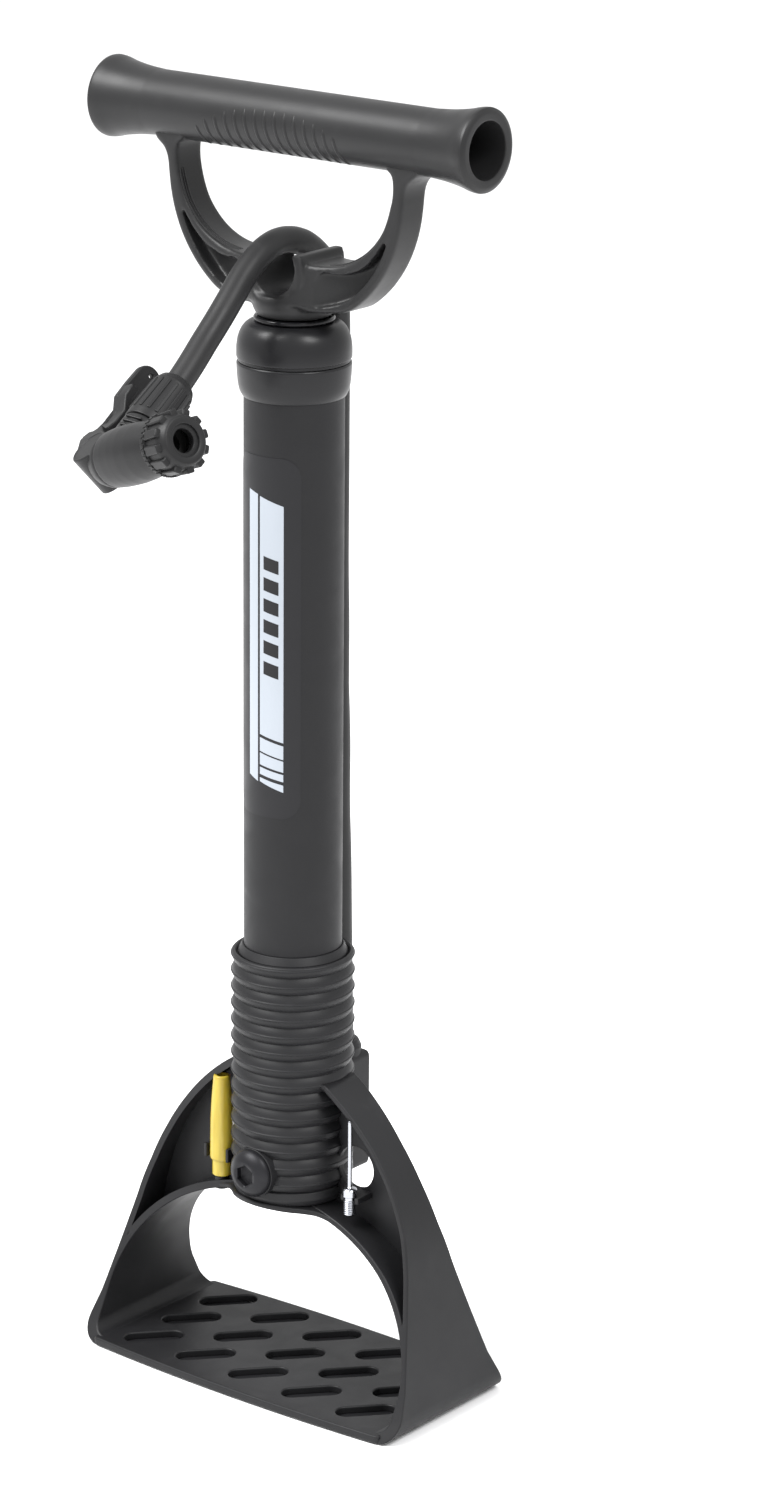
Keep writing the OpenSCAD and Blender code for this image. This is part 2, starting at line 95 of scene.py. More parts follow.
# ---- small tools for meshes ----
def freeze(data, smooth=35):
    # one clean closed skin: doubles merged, normals outwards, hard edges kept above the given angle
    bm = bmesh.new()
    bm.from_mesh(data)
    bmesh.ops.remove_doubles(bm, verts=bm.verts, dist=2e-6)
    bmesh.ops.dissolve_degenerate(bm, edges=bm.edges, dist=1e-7)
    bmesh.ops.recalc_face_normals(bm, faces=bm.faces)
    bm.to_mesh(data)
    bm.free()
    data.shade_smooth()
    data.set_sharp_from_angle(angle=radians(smooth))


def addMesh(name, verts, faces, smooth=35):
    data = bpy.data.meshes.new(name)
    data.from_pydata([Vector(v) * mm for v in verts], [], faces)
    obj = bpy.data.objects.new(name, data)
    scene.collection.objects.link(obj)
    freeze(data, smooth)
    return obj


def evaluated(obj, smooth=None):
    # the object's modifiers turned into a plain mesh
    shown = obj.evaluated_get(bpy.context.evaluated_depsgraph_get())
    data = bpy.data.meshes.new_from_object(shown)
    obj.modifiers.clear()
    if obj.type == "MESH":
        obj.data = data
    else:
        name = obj.name
        bpy.data.objects.remove(obj)
        obj = bpy.data.objects.new(name, data)
        scene.collection.objects.link(obj)
    if smooth:
        freeze(obj.data, smooth)
    return obj


def joined(name, parts):
    bm = bmesh.new()
    for part in parts:
        bm.from_mesh(part.data)
        bpy.data.objects.remove(part)
    data = bpy.data.meshes.new(name)
    bm.to_mesh(data)
    bm.free()
    obj = bpy.data.objects.new(name, data)
    scene.collection.objects.link(obj)
    return obj


def place(obj, matrix):
    obj.data.transform(matrix)
    if matrix.determinant() < 0:
        obj.data.flip_normals()
    return obj


def shift(x, y, z):
    return Matrix.Translation(Vector((x, y, z)) * mm)


def rounded(points, radius, steps=4, closed=True):
    # the outline with each corner turned into an arc; radius is one number or one for each corner
    out = []
    n = len(points)
    for i, p in enumerate(points):
        if not closed and i in (0, n - 1):
            out.append(tuple(p))
            continue
        r = radius[i] if hasattr(radius, "__len__") else radius
        here = Vector(p)
        a, b = Vector(points[i - 1]) - here, Vector(points[(i + 1) % n]) - here
        if r <= 0 or a.length < 1e-6 or b.length < 1e-6:
            out.append(tuple(p))
            continue
        angle = a.angle(b)
        if angle > radians(176) or angle < radians(2):
            out.append(tuple(p))
            continue
        reach = min(r / tan(angle / 2), 0.45 * a.length, 0.45 * b.length)
        first, last = here + a.normalized() * reach, here + b.normalized() * reach
        for k in range(steps + 1):
            t = k / steps
            q = (1 - t) ** 2 * first + 2 * t * (1 - t) * here + t ** 2 * last
            out.append((q.x, q.y))
    return out


def lathe(name, profile, steps=72, closed=False, axis="z", smooth=35, hexRows=()):
    # profile: (radius, height) pairs; open ones start and end on the axis, closed ones are rings
    verts, rows = [], []
    for i, (r, h) in enumerate(profile):
        if r < 1e-5:
            rows.append([len(verts)] * steps)
            verts.append((0, 0, h))
            continue
        rows.append(range(len(verts), len(verts) + steps))
        for k in range(steps):
            t = 2 * pi * k / steps
            reach = r / cos((t + pi / 6) % (pi / 3) - pi / 6) if i in hexRows else r
            verts.append((reach * cos(t), reach * sin(t), h))
    faces = []
    pairs = list(zip(rows, rows[1:])) + ([(rows[-1], rows[0])] if closed else [])
    for low, high in pairs:
        for k in range(steps):
            m = (k + 1) % steps
            corner = list(dict.fromkeys((low[k], low[m], high[m], high[k])))
            if len(corner) > 2:
                faces.append(corner)
    obj = addMesh(name, verts, faces, smooth)
    if axis == "x":
        place(obj, Matrix.Rotation(pi / 2, 4, "Y"))
    if axis == "y":
        place(obj, Matrix.Rotation(pi / 2, 4, "X"))
    return obj


def signedArea(points):
    return sum(a[0] * b[1] - b[0] * a[1] for a, b in zip(points, points[1:] + points[:1])) / 2


def slab(name, outlines, low, high, edge=0.5, plane="xz", steps=2, smooth=35):
    # outlines[0] is filled and the others are holes; the slab runs from low to high across its plane
    data = bpy.data.curves.new(name, "CURVE")
    data.dimensions, data.fill_mode = "2D", "BOTH"
    data.bevel_depth, data.bevel_resolution, data.offset = edge * mm, steps, -edge * mm
    data.extrude = (high - low) / 2 * mm - edge * mm
    for i, points in enumerate(outlines):
        if (signedArea(points) > 0) != (i == 0):
            points = points[::-1]
        spline = data.splines.new("POLY")
        spline.points.add(len(points) - 1)
        for dot, (u, v) in zip(spline.points, points):
            dot.co = (u * mm, v * mm, 0, 1)
        spline.use_cyclic_u = True
    obj = bpy.data.objects.new(name, data)
    scene.collection.objects.link(obj)
    obj = evaluated(obj)
    middle = (high + low) / 2 * mm
    turn = {"xz": lambda c: (c.x, middle + c.z, c.y), "xy": lambda c: (c.x, c.y, middle + c.z),
            "yz": lambda c: (middle + c.z, c.x, c.y)}[plane]
    for v in obj.data.vertices:
        v.co = turn(v.co.copy())
    freeze(obj.data, smooth)
    return obj


def smoothLine(points, steps, closed=False):
    # Catmull-Rom through the points
    n = len(points)
    out = []
    for i in range(n if closed else n - 1):
        near = [points[j % n] if closed else points[max(0, min(j, n - 1))] for j in range(i - 1, i + 3)]
        a, b, c, d = (Vector(p) for p in near)
        for k in range(steps):
            t = k / steps
            out.append(tuple(0.5 * (2 * b + (c - a) * t + (2 * a - 5 * b + 4 * c - d) * t * t
                                    + (3 * b - a - 3 * c + d) * t ** 3)))
    if not closed:
        out.append(tuple(points[-1]))
    return out


def sweep(name, path, radius, sides=16, taper=None, smooth=50):
    # a round tube along the path, capped at both ends; taper gives the radius at each share of the way
    points = [Vector(p) for p in path]
    n = len(points)
    dirs = [(points[min(i + 1, n - 1)] - points[max(i - 1, 0)]).normalized() for i in range(n)]
    side = dirs[0].cross(Vector((1, 0, 0)) if abs(dirs[0].x) < 0.9 else Vector((0, 1, 0))).normalized()
    verts, faces, along = [], [], 0.0
    for i, (p, d) in enumerate(zip(points, dirs)):
        if i:
            along += (p - points[i - 1]).length
        side = (side - d * side.dot(d)).normalized()
        other = d.cross(side)
        r = radius * (taper(i / (n - 1)) if taper else 1)
        verts += [p + r * (cos(2 * pi * k / sides) * side + sin(2 * pi * k / sides) * other)
                  for k in range(sides)]
    for i in range(n - 1):
        for k in range(sides):
            m = (k + 1) % sides
            faces.append((i * sides + k, i * sides + m, (i + 1) * sides + m, (i + 1) * sides + k))
    faces.append(tuple(range(sides))[::-1])
    faces.append(tuple((n - 1) * sides + k for k in range(sides)))
    obj = addMesh(name, verts, faces, smooth)
    return obj, along


def bent(name, columns, rIn, rOut, smooth=40):
    # a closed patch that lies on a cylinder: columns are (angle in degrees from the front, low, high)
    verts, faces = [], []
    for angle, z0, z1 in columns:
        t = radians(angle)
        for r, z in ((rIn, z0), (rOut, z0), (rOut, z1), (rIn, z1)):
            verts.append((r * sin(t), -r * cos(t), z))
    n = len(columns)
    for i in range(n - 1):
        for k in range(4):
            m = (k + 1) % 4
            faces.append((4 * i + k, 4 * i + m, 4 * i + 4 + m, 4 * i + 4 + k))
    faces += [(0, 1, 2, 3), tuple(4 * (n - 1) + k for k in (3, 2, 1, 0))]
    return addMesh(name, verts, faces, smooth)


# ---- a Geometry Nodes tree that repeats one small shape round the Z axis, or along a step ----
def makeCopyTree():
    tree = bpy.data.node_groups.new("copyRound", "GeometryNodeTree")
    face = tree.interface
    face.new_socket("Geometry", in_out="INPUT", socket_type="NodeSocketGeometry")
    for title, kind in (("Copies", "NodeSocketInt"), ("Radius", "NodeSocketFloat"),
                        ("Turn", "NodeSocketFloat"), ("Step", "NodeSocketVector"),
                        ("Growth", "NodeSocketFloat"), ("Material", "NodeSocketMaterial")):
        face.new_socket(title, in_out="INPUT", socket_type=kind)
    face.new_socket("Geometry", in_out="OUTPUT", socket_type="NodeSocketGeometry")

    def add(kind, **facts):
        node = tree.nodes.new(kind)
        for key, value in facts.items():
            setattr(node, key, value)
        return node

    given, made = add("NodeGroupInput"), add("NodeGroupOutput")
    index = add("GeometryNodeInputIndex")
    angle = add("ShaderNodeMath", operation="MULTIPLY")
    cosine, sine = add("ShaderNodeMath", operation="COSINE"), add("ShaderNodeMath", operation="SINE")
    outward = add("ShaderNodeCombineXYZ")
    reach = add("ShaderNodeVectorMath", operation="SCALE")
    along = add("ShaderNodeVectorMath", operation="SCALE")
    spot = add("ShaderNodeVectorMath", operation="ADD")
    dots = add("GeometryNodePoints")
    facing, turned = add("ShaderNodeCombineXYZ"), add("FunctionNodeEulerToRotation")
    growth = add("ShaderNodeMath", operation="MULTIPLY_ADD")
    growth.inputs[2].default_value = 1.0
    size = add("ShaderNodeCombineXYZ")
    size.inputs[2].default_value = 1.0
    spread = add("GeometryNodeInstanceOnPoints")
    real, paint = add("GeometryNodeRealizeInstances"), add("GeometryNodeSetMaterial")
    for start, end in (
            (index.outputs[0], angle.inputs[0]), (given.outputs["Turn"], angle.inputs[1]),
            (angle.outputs[0], cosine.inputs[0]), (angle.outputs[0], sine.inputs[0]),
            (cosine.outputs[0], outward.inputs[0]), (sine.outputs[0], outward.inputs[1]),
            (outward.outputs[0], reach.inputs[0]), (given.outputs["Radius"], reach.inputs["Scale"]),
            (given.outputs["Step"], along.inputs[0]), (index.outputs[0], along.inputs["Scale"]),
            (reach.outputs[0], spot.inputs[0]), (along.outputs[0], spot.inputs[1]),
            (given.outputs["Copies"], dots.inputs["Count"]), (spot.outputs[0], dots.inputs["Position"]),
            (angle.outputs[0], facing.inputs[2]), (facing.outputs[0], turned.inputs[0]),
            (index.outputs[0], growth.inputs[0]), (given.outputs["Growth"], growth.inputs[1]),
            (growth.outputs[0], size.inputs[0]), (growth.outputs[0], size.inputs[1]),
            (dots.outputs[0], spread.inputs["Points"]),
            (given.outputs["Geometry"], spread.inputs["Instance"]),
            (turned.outputs[0], spread.inputs["Rotation"]), (size.outputs[0], spread.inputs["Scale"]),
            (spread.outputs[0], real.inputs[0]), (real.outputs[0], paint.inputs["Geometry"]),
            (given.outputs["Material"], paint.inputs["Material"]), (paint.outputs[0], made.inputs[0])):
        tree.links.new(start, end)
    return tree


copyTree = makeCopyTree()
copySockets = {item.name: item.identifier for item in copyTree.interface.items_tree
               if item.in_out == "INPUT"}


def copies(piece, material, smooth=35, **sizes):
    # piece is one copy's shape, made at the origin and pointing along +X; sizes are the tree's inputs
    mod = piece.modifiers.new("copies", "NODES")
    mod.node_group = copyTree
    start = {"Copies": 1, "Radius": 0.0, "Turn": 0.0, "Step": (0.0, 0.0, 0.0), "Growth": 0.0}
    for title, value in {**start, **sizes, "Material": material}.items():
        mod[copySockets[title]] = value
    return evaluated(piece, smooth)


# ---- materials ----
def newMaterial(name):
    mat = bpy.data.materials.new(name)
    mat.use_nodes = True
    nodes, links = mat.node_tree.nodes, mat.node_tree.links
    shader = nodes["Principled BSDF"]

    def node(kind, values=(), **facts):
        made = nodes.new(kind)
        for key, value in facts.items():
            setattr(made, key, value)
        for key, value in dict(values).items():
            made.inputs[key].default_value = value
        return made
    return mat, node, links.new, shader


def surface(name, look):
    # moulded, painted or metal surface on Object coordinates: fine grain, slow tone drift, faint rubbing
    mat, node, link, shader = newMaterial(name)
    where = node("ShaderNodeTexCoord")
    stretch = node("ShaderNodeMapping", {"Scale": look.get("stretch", (1, 1, 1))})
    link(where.outputs["Object"], stretch.inputs["Vector"])
    grain = node("ShaderNodeTexNoise", {"Scale": look["grain"], "Detail": 3.0, "Roughness": 0.6})
    drift = node("ShaderNodeTexNoise", {"Scale": look.get("drift", 18.0), "Detail": 4.0})
    rub = node("ShaderNodeTexNoise", {"Scale": look.get("rub", 70.0), "Detail": 5.0, "Distortion": 0.6})
    for n in (grain, rub):
        link(stretch.outputs[0], n.inputs["Vector"])
    link(where.outputs["Object"], drift.inputs["Vector"])
    dark = [c * (1 - look["vary"]) for c in look["color"]]
    light = [min(1, c * (1 + look["vary"])) for c in look["color"]]
    tone = node("ShaderNodeValToRGB")
    tone.color_ramp.elements[0].position, tone.color_ramp.elements[1].position = 0.3, 0.7
    tone.color_ramp.elements[0].color, tone.color_ramp.elements[1].color = (*dark, 1), (*light, 1)
    link(drift.outputs["Fac"], tone.inputs["Fac"])
    worn = node("ShaderNodeMapRange", {"From Min": 0.62, "From Max": 0.8, "To Min": 0.0,
                                       "To Max": look.get("wear", 0.12)})
    link(rub.outputs["Fac"], worn.inputs["Value"])
    pale = node("ShaderNodeMix", data_type="RGBA")
    pale.inputs[7].default_value = (*[min(1, c * 2.2 + 0.02) for c in look["color"]], 1)
    link(worn.outputs[0], pale.inputs[0])
    link(tone.outputs["Color"], pale.inputs[6])
    link(pale.outputs[2], shader.inputs["Base Color"])
    gloss = node("ShaderNodeMapRange", {"From Min": 0.3, "From Max": 0.7,
                                        "To Min": look["rough"] - look.get("spread", 0.05),
                                        "To Max": look["rough"] + look.get("spread", 0.05)})
    link(rub.outputs["Fac"], gloss.inputs["Value"])
    link(gloss.outputs[0], shader.inputs["Roughness"])
    bump = node("ShaderNodeBump", {"Strength": look["depth"], "Distance": look.get("height", 0.0001)})
    link(grain.outputs["Fac"], bump.inputs["Height"])
    link(bump.outputs[0], shader.inputs["Normal"])
    shader.inputs["Metallic"].default_value = look.get("metal", 0.0)
    shader.inputs["Specular IOR Level"].default_value = look.get("specular", 0.24)
    shader.inputs["Coat Weight"].default_value = look.get("coat", 0.0)
    shader.inputs["Coat Roughness"].default_value = look.get("coatRough", 0.2)
    return mat


looks = {
    "footPlastic": {"color": (0.0105, 0.0105, 0.0115), "rough": 0.46, "grain": 2400, "depth": 0.35,
                    "vary": 0.12},
    "handlePlastic": {"color": (0.015, 0.015, 0.0155), "rough": 0.40, "grain": 2600, "depth": 0.32,
                      "vary": 0.10},
    "headPlastic": {"color": (0.0105, 0.0105, 0.011), "rough": 0.44, "grain": 2600, "depth": 0.30,
                    "vary": 0.10},
    "capPlastic": {"color": (0.010, 0.010, 0.011), "rough": 0.33, "grain": 1800, "depth": 0.12,
                   "vary": 0.08},
    "barrelPaint": {"color": (0.0085, 0.0085, 0.0095), "rough": 0.50, "grain": 3200, "depth": 0.30,
                    "vary": 0.06, "wear": 0.05},
    "labelFilm": {"color": (0.010, 0.010, 0.0115), "rough": 0.42, "grain": 900, "depth": 0.05,
                  "vary": 0.04, "wear": 0.03},
    "labelStrip": {"color": (0.33, 0.36, 0.40), "rough": 0.38, "grain": 900, "depth": 0.05, "vary": 0.035,
                   "wear": 0.0, "drift": 8, "coat": 0.25},
    "hoseRubber": {"color": (0.014, 0.014, 0.0145), "rough": 0.44, "grain": 2200, "depth": 0.25,
                   "vary": 0.10},
    "bumperRubber": {"color": (0.007, 0.007, 0.008), "rough": 0.16, "grain": 900, "depth": 0.06,
                     "vary": 0.10, "wear": 0.04},
    "blackBolt": {"color": (0.014, 0.014, 0.016), "rough": 0.38, "grain": 1500, "depth": 0.15,
                  "vary": 0.12, "metal": 0.35},
    "sealRubber": {"color": (0.018, 0.018, 0.018), "rough": 0.5, "grain": 1800, "depth": 0.2, "vary": 0.1},
    "needleSteel": {"color": (0.42, 0.43, 0.46), "rough": 0.22, "grain": 900, "depth": 0.08,
                    "vary": 0.05, "metal": 1.0, "stretch": (1, 1, 0.05)},
    "chromedRod": {"color": (0.66, 0.67, 0.69), "rough": 0.12, "grain": 700, "depth": 0.05, "vary": 0.03,
                   "metal": 1.0, "stretch": (1, 1, 0.02), "wear": 0.05},
    "brightSteel": {"color": (0.55, 0.56, 0.58), "rough": 0.28, "grain": 1100, "depth": 0.1, "vary": 0.06,
                    "metal": 1.0},
    "zincSteel": {"color": (0.50, 0.51, 0.52), "rough": 0.36, "grain": 600, "depth": 0.15, "vary": 0.12,
                  "metal": 1.0},
    "plugAluminium": {"color": (0.58, 0.59, 0.61), "rough": 0.34, "grain": 900, "depth": 0.1, "vary": 0.05,
                      "metal": 1.0, "stretch": (1, 1, 12)},
    "brass": {"color": (0.66, 0.47, 0.20), "rough": 0.26, "grain": 900, "depth": 0.08, "vary": 0.08,
              "metal": 1.0},
    "cupLeather": {"color": (0.10, 0.055, 0.028), "rough": 0.62, "grain": 1400, "depth": 0.6, "vary": 0.25,
                   "height": 0.0003},
    "bushPlastic": {"color": (0.62, 0.60, 0.54), "rough": 0.40, "grain": 1600, "depth": 0.15, "vary": 0.05},
}
mats = {name: surface(name, look) for name, look in looks.items()}


def yellowPlastic():
    # clear yellow plastic: deeper in the thick collar, with moulding streaks along it
    mat, node, link, shader = newMaterial("yellowPlastic")
    where = node("ShaderNodeTexCoord")
    stretch = node("ShaderNodeMapping", {"Scale": (1, 1, 0.15)})
    streak = node("ShaderNodeTexNoise", {"Scale": 420.0, "Detail": 3.0})
    link(where.outputs["Object"], stretch.inputs["Vector"])
    link(stretch.outputs[0], streak.inputs["Vector"])
    tone = node("ShaderNodeValToRGB")
    tone.color_ramp.elements[0].position, tone.color_ramp.elements[1].position = 0.35, 0.65
    tone.color_ramp.elements[0].color = (0.46, 0.34, 0.03, 1)
    tone.color_ramp.elements[1].color = (0.54, 0.42, 0.05, 1)
    link(streak.outputs["Fac"], tone.inputs["Fac"])
    link(tone.outputs["Color"], shader.inputs["Base Color"])
    bump = node("ShaderNodeBump", {"Strength": 0.1, "Distance": 0.0001})
    link(streak.outputs["Fac"], bump.inputs["Height"])
    link(bump.outputs[0], shader.inputs["Normal"])
    shader.inputs["Roughness"].default_value = 0.3
    shader.inputs["Subsurface Weight"].default_value = 0.35
    shader.inputs["Subsurface Radius"].default_value = (1.0, 0.7, 0.15)
    shader.inputs["Subsurface Scale"].default_value = 0.003
    shader.inputs["Transmission Weight"].default_value = 0.12
    return mat


mats["yellowPlastic"] = yellowPlastic()
print("materials made:", len(mats))


def bodyOf(node):
    return frame["nodes"][node]["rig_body"]


def finish(piece, body, material, stands=(), smooth=None):
    # paint the piece, tie it to its body and hide the CAD nodes it stands for
    if smooth:
        freeze(piece.data, smooth)
    weigh = piece.modifiers.new("weigh", "WEIGHTED_NORMAL")
    weigh.keep_sharp = True
    evaluated(piece)
    piece.data.materials.clear()
    piece.data.materials.append(mats[material])
    if body:
        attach(piece, body)
    if stands:
        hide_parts(*stands)
    return piece


# ---- hose: one hose in two stretches, because it is carried at both ends ----
hose = {"radius": 5.35, "sides": 28}
riserRoute = [(0, 31, 104), (0, 31, 120), (0, 31, 140), (-0.5, 31, 165), (-1, 31, 190),
              (-1.5, 31, 215), (-2, 30.5, 240), (-2, 30.5, 265), (-2.5, 30, 290)]
loopRoute = [(-2.5, 30, 290), (-2.5, 30, 315), (-3, 30, 340), (-3, 30, 365), (-3, 30, 390),
             (-3, 30, 415), (-3, 30, 438), (-3, 29, 449), (-3, 26, 457), (-3, 21.5, 464),
             (-3, 16, 469.5), (-3, 9, 474), (-3, 1, 476.5), (-3, -7, 476.8), (-2.5, -15, 475),
             (-2, -22.5, 471.3), (-1.5, -30, 466), (-0.5, -38, 459.5), (0, -46, 452.5),
             (0.5, -54.5, 445.5), (1.5, -63.5, 438.5), (1.9, -71.7, 432.1)]


riserLine, loopLine = smoothLine(riserRoute, 6), smoothLine(loopRoute, 5)
hoseRiser, riserLength = sweep("hoseRiser", riserLine, hose["radius"], hose["sides"])
hoseLoop, loopLength = sweep("hoseLoop", loopLine, hose["radius"], hose["sides"])
for piece, node in ((hoseRiser, "hose_riser"), (hoseLoop, "hose_loop")):
    finish(piece, None, "hoseRubber", [node])
print("hose made:", round(riserLength), "and", round(loopLength), "mm")

# ---- foot: stirrup, plate, webs, hub and collar, one moulding ----
foot = {"legX": 86.35, "lean": 0.215, "cornerR": 8.5, "bandCentre": (-37.7, 39.7), "bandR": 112.8,
        "bandFrom": 13.5, "bandTo": 56.2, "archA": 79.0, "archB": 64.0, "archZ": 15.0, "archPower": 2.1,
        "wall": 2.5, "plateT": 3.5, "plateBow": 41.8, "plateEnd": 38.5, "fillet": 6.0,
        "webY": (1.0, 3.6), "webHole": (33.0, 96.5, 9.0), "edge": 0.7,
        "needleNotch": (35.9, 38.1, 121.2), "coneNotch": (27.6, 35.2, 124.3),
        "depth": [(0, 38.5), (9, 33), (20, 27.5), (40, 21.2), (60, 15.3), (79, 11), (95, 9.3), (110, 8.8),
                  (130, 9.9), (140, 9.9)]}
cornerX = foot["legX"] - foot["lean"] * 10.3 - foot["cornerR"] * cos(atan(foot["lean"]))


def arc(x, y, r, start, end, n):
    return [(x + r * cos(radians(start + (end - start) * i / n)),
             y + r * sin(radians(start + (end - start) * i / n))) for i in range(n + 1)]


def mirrored(points):
    return [(-x, z) for x, z in reversed(points)]


def legLine(inset):
    # right half of the stirrup's outer line, from the floor to the collar
    lean = degrees(atan(foot["lean"]))
    corner = arc(cornerX, foot["cornerR"], foot["cornerR"] - inset, -90, lean, 8)
    band = arc(*foot["bandCentre"], foot["bandR"] - inset, foot["bandFrom"], foot["bandTo"], 26)
    (x0, z0), (x1, z1) = corner[-1], band[0]
    return corner + [(x0 + (x1 - x0) * k / 12, z0 + (z1 - z0) * k / 12) for k in range(1, 12)] + band


def archPoint(grow, t):
    k = 2 / foot["archPower"]
    return ((foot["archA"] + grow) * abs(cos(t)) ** k * (1 if cos(t) >= 0 else -1),
            foot["archZ"] + (foot["archB"] + grow) * abs(sin(t)) ** k)


def lineX(line, z):
    for (x0, z0), (x1, z1) in zip(line, line[1:]):
        if z0 <= z <= z1:
            return x0 + (x1 - x0) * (z - z0) / max(z1 - z0, 1e-9)
    return None


def pocketOutline(inset, nearX, radius, notch=None):
    # the space between leg and arch on the right side, from its low tip to nearX beside the hub
    # notch, as from x, to x and top, is room in the band for an adapter's tip
    leg = legLine(inset)
    arch = [p for p in (archPoint(inset, pi / 2 * i / 60) for i in range(61)) if p[0] > nearX]
    arch = [p for p in arch if (lineX(leg, p[1]) or 0) > p[0] + 0.05]
    side = [p for p in leg if p[1] > arch[0][1] + 1 and p[0] > nearX]
    if notch:
        x0, x1, z = notch
        cx, cz = foot["bandCentre"]
        start = cz + sqrt((foot["bandR"] - inset) ** 2 - (x1 - cx) ** 2)
        below = [p for p in side if p[0] > x1] + [(x1, start), (x1, z)]
        room = [(x, max(y, z)) for x, y in side if x0 < x <= x1]
        side = below + room + [p for p in side if p[0] <= x0]
    top = [p for p in leg if p[0] <= nearX]
    ends = [(nearX, top[0][1] if top else leg[-1][1]), (nearX, archPoint(inset, pi / 2)[1])]
    points = [(arch[0][0] + 0.02, arch[0][1] - 0.5)] + side + ends + arch[::-1]
    sizes = [radius * 0.5] + [0] * len(side) + [radius, radius] + [0] * len(arch)
    return rounded(points, sizes, 5)


def footDepth(z):
    table = foot["depth"]
    for (z0, d0), (z1, d1) in zip(table, table[1:]):
        if z <= z1:
            return d0 + (d1 - d0) * max(z - z0, 0) / (z1 - z0)
    return table[-1][1]


def makeStirrup():
    outer = legLine(0)
    arch = [archPoint(0, pi * i / 72) for i in range(73)]
    a, t, f = foot["archA"], foot["plateT"], foot["fillet"]
    right = arc(a - f, t + f, f, -70, 0, 5)
    footEnd = [(a - f - 2, 0.4), (a - f - 2, t - 0.6)]
    half = footEnd + right
    inside = half + arch + [(-x, z) for x, z in reversed(half)]
    points = outer + mirrored(outer) + inside[::-1]
    pockets = [pocketOutline(foot["wall"], 19.0, 3.0, foot["needleNotch"]),
               mirrored(pocketOutline(foot["wall"], 19.0, 3.0, foot["coneNotch"]))]
    shell = slab("stirrup", [points] + pockets, -38.5, 38.5, foot["edge"], steps=2)
    for v in shell.data.vertices:
        side = 1 if v.co.y > 0 else -1
        v.co.y -= side * (38.5 - footDepth(v.co.z / mm)) * mm
    return shell


def makeWebs():
    parts = []
    x, z, r = foot["webHole"]
    outline = pocketOutline(1.2, 17.5, 1.0)
    for side in (1, -1):
        edge = outline if side > 0 else mirrored(outline)
        hole = arc(side * x, z, r, 0, 350, 35)
        parts.append(slab("web", [edge, hole], *foot["webY"], 0.35))
    return parts


slots = {"xs": (-57.5, -28.75, 0, 28.75, 57.5), "ys": (-22, 2.2, 26.4), "half": 8.0, "r": 4.5, "turn": 48}


def makePlate():
    n, far, rise = 16, 77.0, foot["plateBow"] - foot["plateEnd"]
    xs = [far * i / n for i in range(-n, n + 1)]
    bow = [(x, foot["plateEnd"] + rise * (1 - (x / 80) ** 2)) for x in xs]
    edge = rounded(bow[::-1] + [(x, -y) for x, y in bow], [3.0] + [0] * (2 * n - 1) + [3.0, 3.0]
                   + [0] * (2 * n - 1) + [3.0])
    half, r, turn = slots["half"], slots["r"], radians(slots["turn"])
    pill = arc(half, 0, r, -90, 90, 10) + arc(-half, 0, r, 90, 270, 10)
    pill = [(u * cos(turn) - v * sin(turn), u * sin(turn) + v * cos(turn)) for u, v in pill]
    holes = [[(x + u, y + v) for u, v in pill] for x in slots["xs"] for y in slots["ys"]]
    # a thin dark sheet closes the slots from below: painted shade, so that they look dark inside
    skin = slab("plateSkin", [[(x * 0.97, y * 0.9) for x, y in edge]], 0.05, 0.35, 0.1, "xy")
    return [slab("plate", [edge] + holes, 0, foot["plateT"], 0.8, "xy", steps=3), skin]


collar = {"r": 25.05, "groove": 1.6, "first": 90.0, "pitch": 7.15, "count": 14, "core": 22.6,
          "top": 187.2, "bore": 20.05, "bead": 0.32, "beadH": 0.42, "low": 79.0}


def makeCollar():
    c = collar
    body = lathe("hubCore", rounded([(0, c["low"]), (20, c["low"]), (23.4, c["low"] + 1.4),
                                     (24.6, c["low"] + 4), (24.4, 86.2), (c["core"], 86.6),
                                     (c["core"], 182.6), (22.3, 184.2), (20.7, c["top"]),
                                     (c["bore"], c["top"]), (c["bore"], 82), (0, 82)],
                                    [0, 2, 2, 1.5, 0.5, 0, 0, 0.5, 0.3, 0.2, 0, 0], 4, False), 112)
    half = c["pitch"] / 2

    def bulge(high):
        line = [(c["core"] - 1.5, -half)]
        for i in range(-8, high + 1):
            t = i / 8
            line.append((c["r"] - c["groove"] * abs(t) ** 1.8, t * half))
            if i == 0:
                line[-1] = (c["r"], -c["beadH"])
                line += [(c["r"] + c["bead"], -c["beadH"] * 0.4), (c["r"] + c["bead"], c["beadH"] * 0.4),
                         (c["r"], c["beadH"])]
        return line + [(c["core"] - 1.5, line[-1][1])]

    rib = lathe("collarRibs", bulge(8), 112, True)
    ribs = copies(rib, mats["footPlastic"], 40, Copies=c["count"] - 1, Step=(0, 0, c["pitch"] * mm))
    place(ribs, shift(0, 0, c["first"]))
    # the top rib falls away to a groove round the collar's raised inner ring
    last = bulge(2)
    last[-1:] = [(24.4, 1.35), (23.6, 1.4), (22.9, 0.9), (22.6, 0.2), (c["core"] - 1.5, 0.2)]
    topRib = lathe("topRib", last, 112, True)
    return [body, ribs, place(topRib, shift(0, 0, c["first"] + c["pitch"] * (c["count"] - 1)))]


